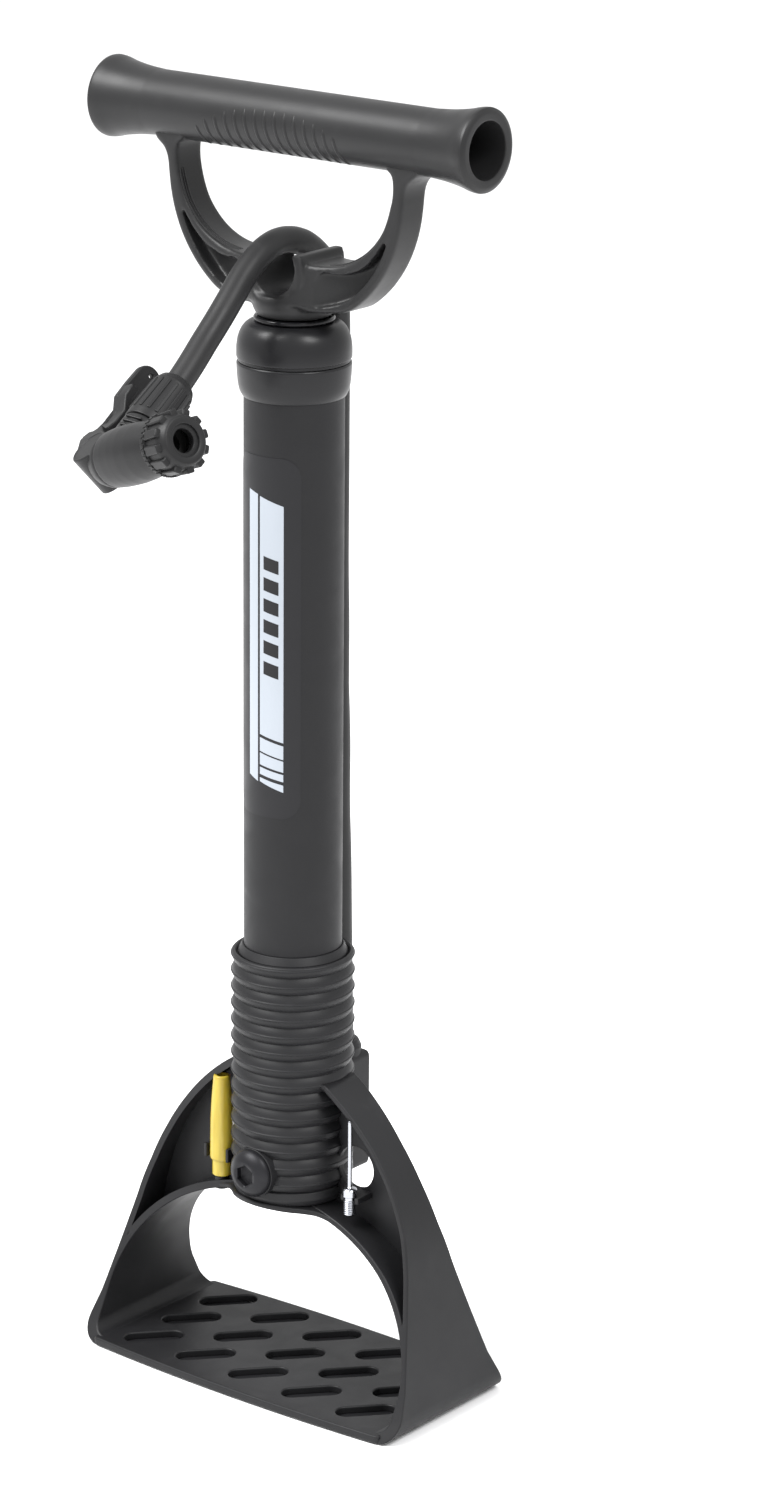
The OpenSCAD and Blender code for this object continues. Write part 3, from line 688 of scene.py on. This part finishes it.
def makeSkirt():
    # the arch's flange runs round the hub's underside and out into both legs
    fair = smoothLine([(17.6, 17.6), (20.5, 15.2), (24, 12.9), (30, 11.6), (38, 11), (44, 10.6)], 4)
    half = [(24.9 * sin(radians(a)), 24.9 * cos(radians(a))) for a in range(0, 45, 3)] + fair
    verts, faces = [], []
    for x, depth in [(-x, d) for x, d in half[:0:-1]] + half:
        drop = 1 - (1 - (abs(x) / foot["archA"]) ** foot["archPower"]) ** (1 / foot["archPower"])
        low = 79.0 - foot["archB"] * drop
        verts += [(x, -depth, low), (x, depth, low), (x, depth, low + 2.2), (x, -depth, low + 2.2)]
    n = len(verts) // 4
    for i in range(n - 1):
        faces += [(4 * i + k, 4 * i + (k + 1) % 4, 4 * i + 4 + (k + 1) % 4, 4 * i + 4 + k) for k in range(4)]
    faces += [(0, 1, 2, 3), tuple(4 * (n - 1) + k for k in (3, 2, 1, 0))]
    skirt = addMesh("skirt", verts, faces)
    ease = skirt.modifiers.new("ease", "BEVEL")
    ease.width, ease.segments, ease.limit_method = 0.7 * mm, 3, "ANGLE"
    return evaluated(skirt)


def makeFork(x, y, r, wall, reach, low, high):
    # a fork on the web, open to the front
    back = foot["webY"][0] + 0.5
    ring = arc(x, y, r, 0, 180, 12)
    left, right, front = x - r - wall, x + r + wall, y - reach
    points = [(x + r, front)] + ring + [(x - r, front), (left, front), (left, back), (right, back),
                                        (right, front)]
    return slab("fork", [rounded(points, [0.5] + [0] * 13 + [0.5, 0.7, 1, 1, 0.7], 3)], low, high, 0.3, "xy")


def makeBosses():
    parts = [lathe("boltBoss", rounded([(0, 0), (10.4, 0), (10.4, 25.9), (5.2, 25.9), (5.2, 24), (0, 24)],
                                       [0, 0, 0.5, 0.2, 0, 0], 4, False), 64, axis="y")]
    place(parts[0], shift(0, 0, 94))
    tower = [(-9.5, 80), (9.5, 80), (9.5, 131), (-9.5, 131)]
    parts.append(slab("hoseTower", [rounded(tower, 3, 4)], 14, 39.5, 1.6, steps=4))
    ringLine = [(5.6, 128), (8.8, 128), (8.8, 133.4), (7.4, 136.5), (5.6, 136.5)]
    collarRing = lathe("hoseCollar", rounded(ringLine, [0, 0, 1, 1, 0.6], 4), 56, True)
    parts.append(place(collarRing, shift(0, 31, 0)))
    for x in (-5.5, 5.5):
        parts.append(slab("towerRib", [rounded([(x - 1, 84), (x + 1, 84), (x + 1, 126), (x - 1, 126)], 0.9)],
                          38, 40.6, 0.8, steps=3))
    parts.append(makeFork(37, -8, 2.75, 1.9, 0.5, 85.2, 87.8))
    parts.append(makeFork(-31.4, -8, 5.1, 1.5, 4, 87.2, 93))
    seat = lathe("coneSeat", rounded([(0, 74), (3, 74), (3, 79.6), (0, 79.6)], [0, 0, 0.6, 0], 3, False), 32)
    parts.append(place(seat, shift(-31.4, -8, 0)))
    return parts


footParts = [makeStirrup(), makeSkirt()] + makePlate() + makeWebs() + makeCollar() + makeBosses()
footBase = joined("footBase", footParts)
finish(footBase, "root", "footPlastic", ["foot_base"], 38)
print("foot made:", len(footBase.data.polygons), "faces")

# ---- base bolt: button head with a hexagon socket ----
bolt = lathe("baseBolt", [(0, -19), (4.6, -19), (5, -18.5), (5, 0), (9.7, 0), (10, 0.3), (10, 1.1), (9.75,
                          1.75), (9.2, 2.55), (8.4, 3.35), (7.4, 4.05), (6.4, 4.55), (5.6, 4.8), (4.95,
                          4.82), (4.0, 4.4), (4.0, 2.1), (3.6, 1.9), (0,
                          1.2)], 72, axis="y", smooth=32, hexRows=(14, 15, 16))
finish(place(bolt, shift(0, -26, 94)), "root", "blackBolt", ["base_bolt"])

# ---- barrel, clear film round its front, and the film's pale strips ----
barrel = lathe("barrelTube", rounded([(18.75, 82), (20, 82), (20, 436), (18.75, 436)], 0.3, 2), 128, True)
finish(barrel, "root", "barrelPaint", ["barrel"])

label = {"r": 20.0, "film": 0.15, "from": -48, "to": 48, "low": 246, "high": 394, "corner": 8,
         "left": (-19.5, -4.8), "leftTop": (380.0, 378.6), "leftLow": (262.4, 260.4),
         "right": (-1.7, 28.2), "lines": [(378.0, 374.7, 0), (279.7, 277.1, 1.3), (273.0, 270.4, 0.7),
                                          (267.2, 265.0, 1.0), (263.0, 260.8, 1.4), (260.6, 257.1, 0)],
         "bars": {"count": 6, "top": 354, "pitch": 8.6, "tall": 5.4, "first": 3.5, "step": 2.1,
                  "slant": 0.18}}


def makeFilm():
    r, d = label["r"], label["corner"]
    columns = []
    for k in range(61):
        t = k / 60
        angle = label["from"] + (label["to"] - label["from"]) * (0.5 - 0.5 * cos(pi * t))
        edge = min(angle - label["from"], label["to"] - angle) * pi / 180 * r
        cut = d - sqrt(d * d - (d - edge) ** 2) if edge < d else 0
        columns.append((angle, label["low"] + cut, label["high"] - cut))
    return bent("labelFilm", columns, r + 0.005, r + label["film"])


def strip(name, angles, top, low):
    a, b = angles
    columns = []
    for k in range(11):
        t = k / 10
        columns.append((a + (b - a) * t, low[0] + (low[1] - low[0]) * t, top[0] + (top[1] - top[0]) * t))
    return bent(name, columns, label["r"] + label["film"], label["r"] + label["film"] + 0.04)


def makeStrips():
    parts = [strip("strip", label["left"], label["leftTop"], label["leftLow"])]
    lines = label["lines"]
    for (a, b, gap), (c, d, nextGap) in zip(lines, lines[1:]):
        top, low = (a - gap / 2, b - gap / 2), (c + nextGap / 2, d + nextGap / 2)
        parts.append(strip("strip", label["right"], top, low))
    return joined("labelStrips", parts)


def makeBars():
    # plain slanted bars on the right strip, where the real one is printed
    b = label["bars"]
    face = label["r"] + label["film"]
    parts = []
    for k in range(b["count"]):
        top = b["top"] - b["pitch"] * k
        columns = [(b["first"] + b["step"] * i, top - b["tall"] - b["slant"] * i, top - b["slant"] * i)
                   for i in range(10)]
        parts.append(bent("bar", columns, face + 0.035, face + 0.055))
    return joined("labelBars", parts)


finish(makeFilm(), "root", "labelFilm", ["label_film"])
finish(makeStrips(), "root", "labelStrip")
finish(makeBars(), "root", "labelFilm")
print("barrel and label made")

# ---- cap: lower ring, domed screw cap, glossy bumper ring ----
capRing = lathe("capRing", [(20.05, 415.5), (20.3, 415.5), (20.6, 415.7), (21.6, 417.5), (22.0,
                            419.2), (22.3, 421), (22.6, 424.5), (22.8, 428.3), (22.7, 428.8), (22.3,
                            429.15), (20.05, 429.15)], 112, True, smooth=40)
finish(capRing, "root", "capPlastic", ["cap_ring"])
topCap = lathe("topCap", [(18.7, 418), (18.7, 436.2), (20, 436.2), (20.02, 429.2), (21.9, 429.2), (22.2,
                          429.5), (22.2, 430.5), (22.7, 430.8), (22.85, 431.3), (22.85, 433), (22.82,
                          435), (22.6, 436.9), (22.25, 438.8), (21.6, 440.6), (20.75, 442.3), (19.6,
                          443.7), (18.3, 444.65), (16.8, 445.15), (15, 445.2), (7, 445.2), (6.6,
                          444.8), (6.6, 441.1), (9.05, 441.1), (9.05, 418)], 112, True, smooth=40)
finish(topCap, "root", "capPlastic", ["top_cap"])
bumper = lathe("bumperRing", [(6.05, 445.4), (15.2, 445.4), (15.8, 445.6), (16.1, 446.1), (16.1, 446.8),
                              (15.8, 447.2), (15.2, 447.4), (6.05, 447.4)], 96, True, smooth=50)
finish(bumper, bodyOf("bumper_ring"), "bumperRubber", ["bumper_ring"])
rod = lathe("pistonRod", [(0, 112), (3.6, 112), (4, 112.5), (4, 124.1), (5.6, 124.1), (6, 124.6), (6,
                          452.6), (5.6, 453), (2.5, 453), (2.5, 438), (0, 438)], 64)
finish(rod, "piston", "chromedRod", ["rod"])
print("cap, bumper and rod made")

# ---- handle: grip, yoke, hub and hose clip, one moulding ----
handle = {"gripZ": 523.1, "half": 94.15, "r": 13.0, "bore": 11.1, "deep": 91.15, "yokeY": 8.0, "edge": 1.6,
          "webY": 1.6, "scoopRun": 22.0, "bulge": 0.65, "bulgeX": 20.0,
          "flare": [(26, 13.0), (17, 13.7), (9, 14.9), (4, 16.1), (1.6, 16.4)],
          "outer": [(17, 452), (25, 452.4), (33.5, 454.4), (41.7, 460.6), (47.9, 467.7), (52.5, 475.2),
                    (55.7, 483), (57.6, 490.5), (58.6, 498), (59.2, 503), (61, 507), (65.5, 511.2),
                    (66, 518)],
          "inner": [(49, 518), (50.5, 512.2), (53.4, 509.4), (54.1, 505), (53.6, 499.5), (51.8, 492.6),
                    (48.9, 486.2), (43.8, 480), (37.4, 475.2), (29.7, 472), (21, 470.8), (13.5, 471)],
          "pocket": [(18, 455.5), (24.5, 455.4), (32, 458.2), (38.8, 463.2), (44.5, 469.6), (48.8, 476.5),
                     (51.6, 483.2), (52.4, 486.4), (49.4, 482), (44.6, 476), (38.4, 471), (30, 468.2),
                     (20, 467.4)],
          "clip": {"z": 468.0, "out": 14.8, "in": 10.6, "y": 13.5, "gap": 9.6, "top": 474.2},
          "ribs": {"count": 15, "first": -40.0, "pitch": 4.95, "low": -72.0, "high": 30.0, "tall": 0.42}}


def makeGrip():
    h, r, b, end = handle, handle["r"], handle["bore"], handle["half"]
    flare = smoothLine([(end - d, q) for d, q in h["flare"]], 4)
    flare += [(end - 0.9, 16.25), (end - 0.3, 15.4), (end, 14.4), (end, 13.8)]
    mouth = [(end, 11.9), (end - 0.25, 11.4), (end - 0.9, b), (end - h["deep"], b)]
    right = [(q, x) for x, q in flare + mouth]
    left = [(q, -x) for q, x in reversed(right)]
    body = [(r, x) for x in range(-60, 61, 12)]
    grip = lathe("grip", [(0, -3)] + left + body + right + [(0, 3)], 96, axis="x", smooth=40)
    return place(grip, shift(0, 0, h["gripZ"]))


def ribTaper(t):
    # a rib's thickness at each share of its length
    return min(1, (t + 0.02) / 0.12, (1.02 - t) / 0.16) ** 0.5


def makeGripRibs():
    # shallow ribs across the grip's front; their upper ends follow a lens-shaped line
    g = handle["ribs"]
    parts = []
    for i in range(g["count"]):
        x = g["first"] + g["pitch"] * i
        share = (x + 2.5) / 40
        top = g["low"] + (g["high"] - g["low"]) * max(0.30, sqrt(max(0, 1 - 0.80 * share * share)))
        path = []
        for k in range(25):
            a = radians(g["low"] + (top - g["low"]) * k / 24)
            lean = 4.0 * ((radians(top) - a) / radians(100)) ** 1.3 if a < radians(top) else 0
            path.append((x + lean, -(handle["r"] - 0.55) * cos(a), (handle["r"] - 0.55) * sin(a)))
        parts.append(sweep("gripRib", path, 0.55 + g["tall"], 12, ribTaper, 60)[0])
    return place(joined("gripRibs", parts), shift(0, 0, handle["gripZ"]))


def cut(obj, tool):
    mod = obj.modifiers.new("cut", "BOOLEAN")
    mod.object, mod.operation, mod.solver = tool, "DIFFERENCE", "EXACT"
    evaluated(obj)
    bpy.data.objects.remove(tool)
    return obj


def makeScoop(pocket, face, side):
    # the room of one scoop, in columns across X; its floor rises towards the hub
    h = handle
    first, last = min(x for x, z in pocket) + 0.02, max(x for x, z in pocket) - 0.05
    verts, faces, n = [], [], 40
    for i in range(n + 1):
        x = first + (last - first) * i / n
        hits = [z0 + (z1 - z0) * (x - x0) / (x1 - x0)
                for (x0, z0), (x1, z1) in zip(pocket, pocket[1:] + pocket[:1]) if (x0 <= x) != (x1 <= x)]
        rise = max(0, 1 - (x - 18) / h["scoopRun"]) ** 1.7
        floor = h["webY"] + (h["yokeY"] - h["webY"]) * rise
        verts += [(side * x, face * y, z) for y, z in ((floor, min(hits)), (floor, max(hits)),
                                                       (20, max(hits)), (20, min(hits)))]
    for i in range(n):
        faces += [(4 * i + k, 4 * i + (k + 1) % 4, 4 * i + 4 + (k + 1) % 4, 4 * i + 4 + k) for k in range(4)]
    faces += [(0, 1, 2, 3), tuple(4 * n + k for k in (3, 2, 1, 0))]
    return addMesh("scoop", verts, faces)


def makeYoke():
    # a D with a scoop in each side of each arm
    h, c = handle, handle["clip"]
    outer, inner = smoothLine(h["outer"], 5), smoothLine(h["inner"], 5)
    under = arc(0, c["z"], 12.4, 12, -192, 26)
    points = outer[::-1] + mirrored(outer)[::-1] + mirrored(inner)[::-1] + under[1:-1][::-1] + inner[::-1]
    yoke = slab("yoke", [points], -h["yokeY"], h["yokeY"], h["edge"], steps=4)
    pocket = smoothLine(h["pocket"], 4, True)
    for side in (1, -1):
        for face in (1, -1):
            cut(yoke, makeScoop(pocket, face, side))
    return yoke


def swell(piece):
    # the yoke grows thicker towards the hub, most of all along its lower edge
    for v in piece.data.vertices:
        x, z = v.co.x / mm, v.co.z / mm
        low = max(0, min(1, (474 - z) / 20))
        v.co.y *= 1 + (handle["bulge"] + 0.45 * low) * exp(-(x / handle["bulgeX"]) ** 2)
    return piece


def makeClip():
    c = handle["clip"]
    a = degrees(atan2(c["top"] - c["z"], sqrt(c["out"] ** 2 - (c["top"] - c["z"]) ** 2)))
    b = degrees(atan2(sqrt(c["in"] ** 2 - c["gap"] ** 2), c["gap"]))
    points = arc(0, c["z"], c["out"], a, -180 - a, 44) + [(-c["gap"], c["top"])]
    points += arc(0, c["z"], c["in"], -180 - b, b, 36) + [(c["gap"], c["top"])]
    clip = slab("hoseClip", [points], -c["y"], c["y"], 0.5, steps=3)
    hubLine = [(6.05, 447.6), (14.6, 447.6), (15.2, 448.4), (16.4, 451), (16.8, 454), (15.5, 457),
               (6.05, 455)]
    hub = lathe("handleHub", hubLine, 96, True)
    return [clip, hub]


def makeInnerRidges():
    # three fine lines along the inside of the D, low down on both sides
    def taper(t):
        return min(1, (t + 0.03) / 0.1, (1.03 - t) / 0.1) ** 0.5

    line = smoothLine(handle["inner"], 4)
    paths = [[(side * x, y, z) for x, z in line[16:40]] for y in (-6.3, -5.1, -3.9) for side in (1, -1)]
    return [sweep("ridge", path, 0.42, 8, taper)[0] for path in paths]


def makeFrame():
    # yoke, hub and clip in one skin, its corners eased as a mould leaves them
    body = joined("yokeFrame", [swell(makeYoke())] + makeClip())
    skin = body.modifiers.new("skin", "REMESH")
    skin.mode, skin.voxel_size = "VOXEL", 0.0007
    ease = body.modifiers.new("ease", "SMOOTH")
    ease.factor, ease.iterations = 0.5, 7
    return evaluated(body)


handlePiece = joined("handlePiece", [makeGrip(), makeGripRibs(), makeFrame()] + makeInnerRidges())
finish(handlePiece, bodyOf("handle"), "handlePlastic", ["handle"], 38)
print("handle made:", len(handlePiece.data.polygons), "faces")

# ---- pump head, hung on the yoke's clip line by its hose; made in its own axes, X along the nozzle ----
head = {"at": (3, -105, 410), "turn": (-54, -20, -12), "pinX": -12.5}
headAxes = shift(*head["at"]) @ Euler([radians(a) for a in head["turn"]], "XYZ").to_matrix().to_4x4()


def makeHeadBody():
    px = head["pinX"]
    nozzle = lathe("nozzle", [(0, -13), (5, -12.8), (8, -11.6), (9.8, -9), (10.7, -6), (10.9,
                              -4.6), (10.9, -4.3), (10.0, -4.2), (10.0, -3.4), (11, -3.3), (11.4,
                              1), (11.6, 6), (11.6, 11), (11.2, 17), (10.4, 23), (9.6, 27.6), (9.2,
                              29.2), (0, 29.5)], 72, axis="x")
    neck = lathe("neck", [(0, -6), (8.8, -6), (8.8, 15.4), (8.2, 16), (0, 16)], 64)
    block = slab("block", [rounded([(px - 3.6, -6), (-1, -6), (-1, 8), (px - 3.6, 8)], 2)], -4.5, 4.5, 0.6)
    boss = slab("boss", [arc(px, 0, 6.4, 0, 350, 35)], -4.5, 4.5, 0.5)
    body = joined("headBody", [nozzle, neck, block, boss])
    mesh = body.modifiers.new("skin", "REMESH")
    mesh.mode, mesh.voxel_size = "VOXEL", 0.0004
    ease = body.modifiers.new("ease", "SMOOTH")
    ease.factor, ease.iterations = 0.5, 5
    evaluated(body)
    bore = lathe("bore", [(0, -12), (4.05, -12), (4.05, 16), (7.4, 16), (7.4, 40), (0, 40)], 48, axis="x")
    cut(body, bore)
    for side in (1, -1):
        cheek = slab("cheek", [arc(px, 0, 8.45, 0, 354, 59)], side * 12.3 - 7.7, side * 12.3 + 7.7, 0.3)
        cut(body, cheek)
    pinHole = lathe("pinHole", [(0, -20), (2.02, -20), (2.02, 20), (0, 20)], 32, axis="y")
    cut(body, place(pinHole, shift(px, 0, 0)))
    thread = [(7.4, 28.9), (8.2, 28.9)]
    for k in range(4):
        thread += [(8.2, 29.3 + k), (8.6, 29.55 + k), (8.6, 29.75 + k), (8.2, 30.0 + k)]
    threadRing = lathe("thread", thread + [(8.2, 33), (7.4, 33)], 64, True, axis="x")
    ventLine = rounded([(-3.6, -0.5), (3.6, -0.5), (3.6, 0.5), (-3.6, 0.5)], 0.5)
    vent = slab("vent", [ventLine], 8.2, 9.5, 0.3, "yz")
    vents = copies(vent, mats["headPlastic"], 40, Copies=3, Step=(0, 0, 2.3 * mm))
    place(vents, Matrix.Rotation(radians(-60), 4, "Z") @ shift(0, 0, 8.6))
    return joined("headBody", [body, threadRing, vents])


finish(place(makeHeadBody(), headAxes), bodyOf("head_body"), "headPlastic", ["head_body"], 40)


def makeLever():
    # a drum round the pin, a channel-shaped arm that narrows above it, and a broad round tip
    px = head["pinX"]
    heights = (13, 19, 25, 30, 36)
    side = arc(px, 0, 8, -175, 0, 16) + [(px + 4, 6)] + [(-16.5, z) for z in heights]
    side += [(-25, z) for z in heights[::-1]] + [(-25, 6)]
    side = rounded(side, [0] * 17 + [3, 3, 0, 0, 0, 1, 0.5, 0, 0, 0, 0, 3], 4)
    parts = []
    for y in (4.9, -8.7):
        parts.append(slab("cheek", [side], y, y + 3.8, 0.6, steps=3))
    drum = arc(px, 0, 8.1, 50, 310, 40) + arc(px, 0, 6.6, 310, 50, 34)
    parts.append(slab("drum", [drum], -8.9, 8.9, 0.7, steps=3))
    half = [(8.7, 7), (8.7, 12), (5, 16), (5, 25), (8.7, 30), (8.8, 38)]
    outline = rounded(half + arc(-2.5, 45, 6, 10, 170, 12) + mirrored(half),
                      [1, 2, 3, 3, 3, 4] + [0] * 13 + [4, 3, 3, 3, 2, 1], 4)
    tipHole = arc(-2.5, 47.4, 0.9, 0, 345, 23)
    parts.append(slab("backPlate", [outline, tipHole], -25, -21.8, 0.8, "yz", steps=3))
    lever = joined("headLever", parts)
    for v in lever.data.vertices:
        y, z = abs(v.co.y) / mm, v.co.z / mm
        onArm = v.co.x < -16 * mm and y > 4.5 and z < 30
        if onArm and (y > 5.6 or v.co.x > -21 * mm):
            pinch = max(0, min(1, (z - 10) / 6, (30.5 - z) / 5.5))
            v.co.y = copysign((y - 3.7 * pinch) * mm, v.co.y)
    return lever


finish(place(makeLever(), headAxes), bodyOf("head_lever"), "headPlastic", ["head_lever"], 40)
pin = lathe("leverPin", [(0, -8.2), (1.7, -8.2), (2, -7.9), (2, 7.9), (1.7, 8.2), (0, 8.2)], 32, axis="y")
finish(place(pin, headAxes @ shift(head["pinX"], 0, 0)), bodyOf("lever_pin"), "brightSteel",
       ["lever_pin"], 40)


def makeFerrule():
    line = [(5.4, 16), (9.0, 16), (9.1, 19), (8.4, 36.6), (7.4, 39), (6.2, 40), (5.4, 40)]
    core = lathe("ferrule", rounded(line, [0, 0.5, 0.5, 1, 1, 0.4, 0.3], 4), 96, True)
    groove = rounded([(-0.75, 19.5), (0.75, 19.5), (0.7, 35.5), (-0.7, 35.5)], 0.6, 3)
    flute = slab("flute", [groove], -0.6, 0.85, 0.35, "yz", steps=3)
    place(flute, Matrix.Rotation(radians(-2.2), 4, "Y"))
    flutes = copies(flute, mats["headPlastic"], 40, Copies=16, Radius=9.4 * mm, Turn=2 * pi / 16)
    return joined("hoseFerrule", [core, flutes])


finish(place(makeFerrule(), headAxes), bodyOf("hose_ferrule"), "headPlastic",
       ["hose_ferrule"], 40)


def makeNut():
    shell = lathe("nut", [(8.75, 30), (11.2, 30), (11.7, 30.2), (12.0, 30.6), (12.0, 31.5), (11.7,
                          31.9), (11.0, 32.1), (11.05, 38.2), (10.5, 39.8), (9.7, 41.6), (9.1,
                          42.3), (8.6, 42.5), (6.9, 42.5), (6.4, 42.1), (6.4, 41.2), (4.9, 41.2), (4.6,
                          40.9), (4.6, 38), (8.75, 38)], 96, True, axis="x")
    lugLine = rounded([(-2.0, 31.9), (2.0, 31.9), (1.7, 40.4), (-1.7, 40.4)], 0.8, 4)
    lug = slab("lug", [lugLine], -1.5, 1.55, 0.6, "yz", steps=4)
    place(lug, Matrix.Rotation(radians(3.0), 4, "Y"))
    lugs = copies(lug, mats["headPlastic"], 40, Copies=12, Radius=8.75 * mm, Turn=2 * pi / 12)
    tooth = slab("tooth", [[(-0.9, 30.1), (0.9, 30.1), (0.55, 31.8), (-0.55, 31.8)]], 0, 0.7, 0.15, "yz")
    teeth = copies(tooth, mats["headPlastic"], 40, Copies=36, Radius=11.6 * mm, Turn=2 * pi / 36)
    ribs = joined("nutRibs", [lugs, teeth])
    place(ribs, Matrix.Rotation(pi / 2, 4, "Y"))
    return joined("valveNut", [shell, ribs])


finish(place(makeNut(), headAxes), bodyOf("valve_nut"), "headPlastic", ["valve_nut"], 40)
print("pump head made")

# ---- ball needle and cone, kept in the foot's forks ----
needleProfile = [(0, 79.8), (2.1, 79.8), (2.4, 80.1)]
for k in range(8):
    needleProfile += [(2.6, 80.45 + 0.8 * k), (2.6, 80.65 + 0.8 * k), (2.25, 80.95 + 0.8 * k)]
needleProfile += [(2.2, 87.2), (2.2, 87.8), (2.7, 87.85), (3, 88.1), (3, 90.8), (2.7, 91.2), (2.2,
                  91.6), (1.2, 91.8), (0.95, 92.1), (0.95, 119.9), (0.85, 120.5), (0.6, 120.85), (0.3,
                  120.9), (0.3, 112), (0, 112)]
needle = lathe("ballNeedle", needleProfile, 40, smooth=32)
finish(place(needle, shift(37, -8, 0)), bodyOf("ball_needle"), "needleSteel", ["ball_needle"])
cone = lathe("coneAdapter", [(2, 80.4), (2.4, 79.8), (3.6, 79.8), (3.9, 80), (4, 80.4), (4, 86.6), (4.15,
                             86.85), (4.6, 87), (4.85, 87.3), (4.95, 87.8), (4.9, 96), (4.75, 105), (4.35,
                             113), (3.85, 119), (3.5, 123.2), (3.3, 123.7), (3, 123.9), (2.3, 123.9), (2,
                             123.6)], 64, True, smooth=40)
finish(place(cone, shift(-31.4, -8, 0)), bodyOf("cone_adapter"), "yellowPlastic",
       ["cone_adapter"])

# ---- the CAD nodes that stay as they are get their own materials ----
inside = {"bushPlastic": ("rod_bush", "plunger", "piston_disc"),
          "sealRubber": ("rod_seal", "plug_o_ring", "rebound_ring", "gland_rubber"),
          "zincSteel": ("stop_washer", "piston_washer", "piston_nut"),
          "plugAluminium": ("foot_plug", "valve_plug"),
          "brightSteel": ("check_ball", "check_spring", "handle_screw"),
          "brass": ("hose_elbow",), "cupLeather": ("piston_cup",)}
for material, names in inside.items():
    for name in names:
        kept = bpy.data.objects[name]
        if not kept.material_slots:
            kept.data.materials.append(mats[material])
        for slot in kept.material_slots:
            slot.material = mats[material]
print("inside parts painted")

# ---- plain floor, white room and two large soft lamps ----
wide = 9000
floor = addMesh("floor", [(-wide, -wide, 0), (wide, -wide, 0), (wide, wide, 0), (-wide, wide, 0)],
                [(0, 1, 2, 3)])
floorMat, node, link, shader = newMaterial("paleFloor")
grain = node("ShaderNodeTexNoise", {"Scale": 30.0, "Detail": 3.0})
where = node("ShaderNodeTexCoord")
link(where.outputs["Object"], grain.inputs["Vector"])
ramp = node("ShaderNodeValToRGB")
ramp.color_ramp.elements[0].color = (0.93, 0.93, 0.935, 1)
ramp.color_ramp.elements[1].color = (0.95, 0.95, 0.955, 1)
link(grain.outputs["Fac"], ramp.inputs["Fac"])
link(ramp.outputs[0], shader.inputs["Base Color"])
shader.inputs["Roughness"].default_value = 0.9
shader.inputs["Specular IOR Level"].default_value = 0.1
floor.data.materials.append(floorMat)
floor.location.z = -0.0005

world = bpy.data.worlds.new("room")
scene.world = world
world.use_nodes = True
world.node_tree.nodes["Background"].inputs["Color"].default_value = (1, 1, 1, 1)
world.node_tree.nodes["Background"].inputs["Strength"].default_value = 1.0

lamps = [("lampLeft", -32, 52, 2.4, (1.5, 1.0), 90), ("lampRight", 82, 48, 2.4, (0.9, 0.9), 40)]
for name, azimuth, elevation, far, size, power in lamps:
    a, e = radians(azimuth), radians(elevation)
    toward = Vector((sin(a) * cos(e), -cos(a) * cos(e), sin(e)))
    data = bpy.data.lights.new(name, "AREA")
    data.shape, data.size, data.size_y, data.energy = "RECTANGLE", size[0], size[1], power
    lamp = bpy.data.objects.new(name, data)
    scene.collection.objects.link(lamp)
    lamp.location = Vector((0, 0, 0.3)) + toward * far
    lamp.rotation_euler = toward.to_track_quat("Z", "Y").to_euler()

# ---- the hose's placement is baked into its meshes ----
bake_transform(hoseRiser)
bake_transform(hoseLoop)
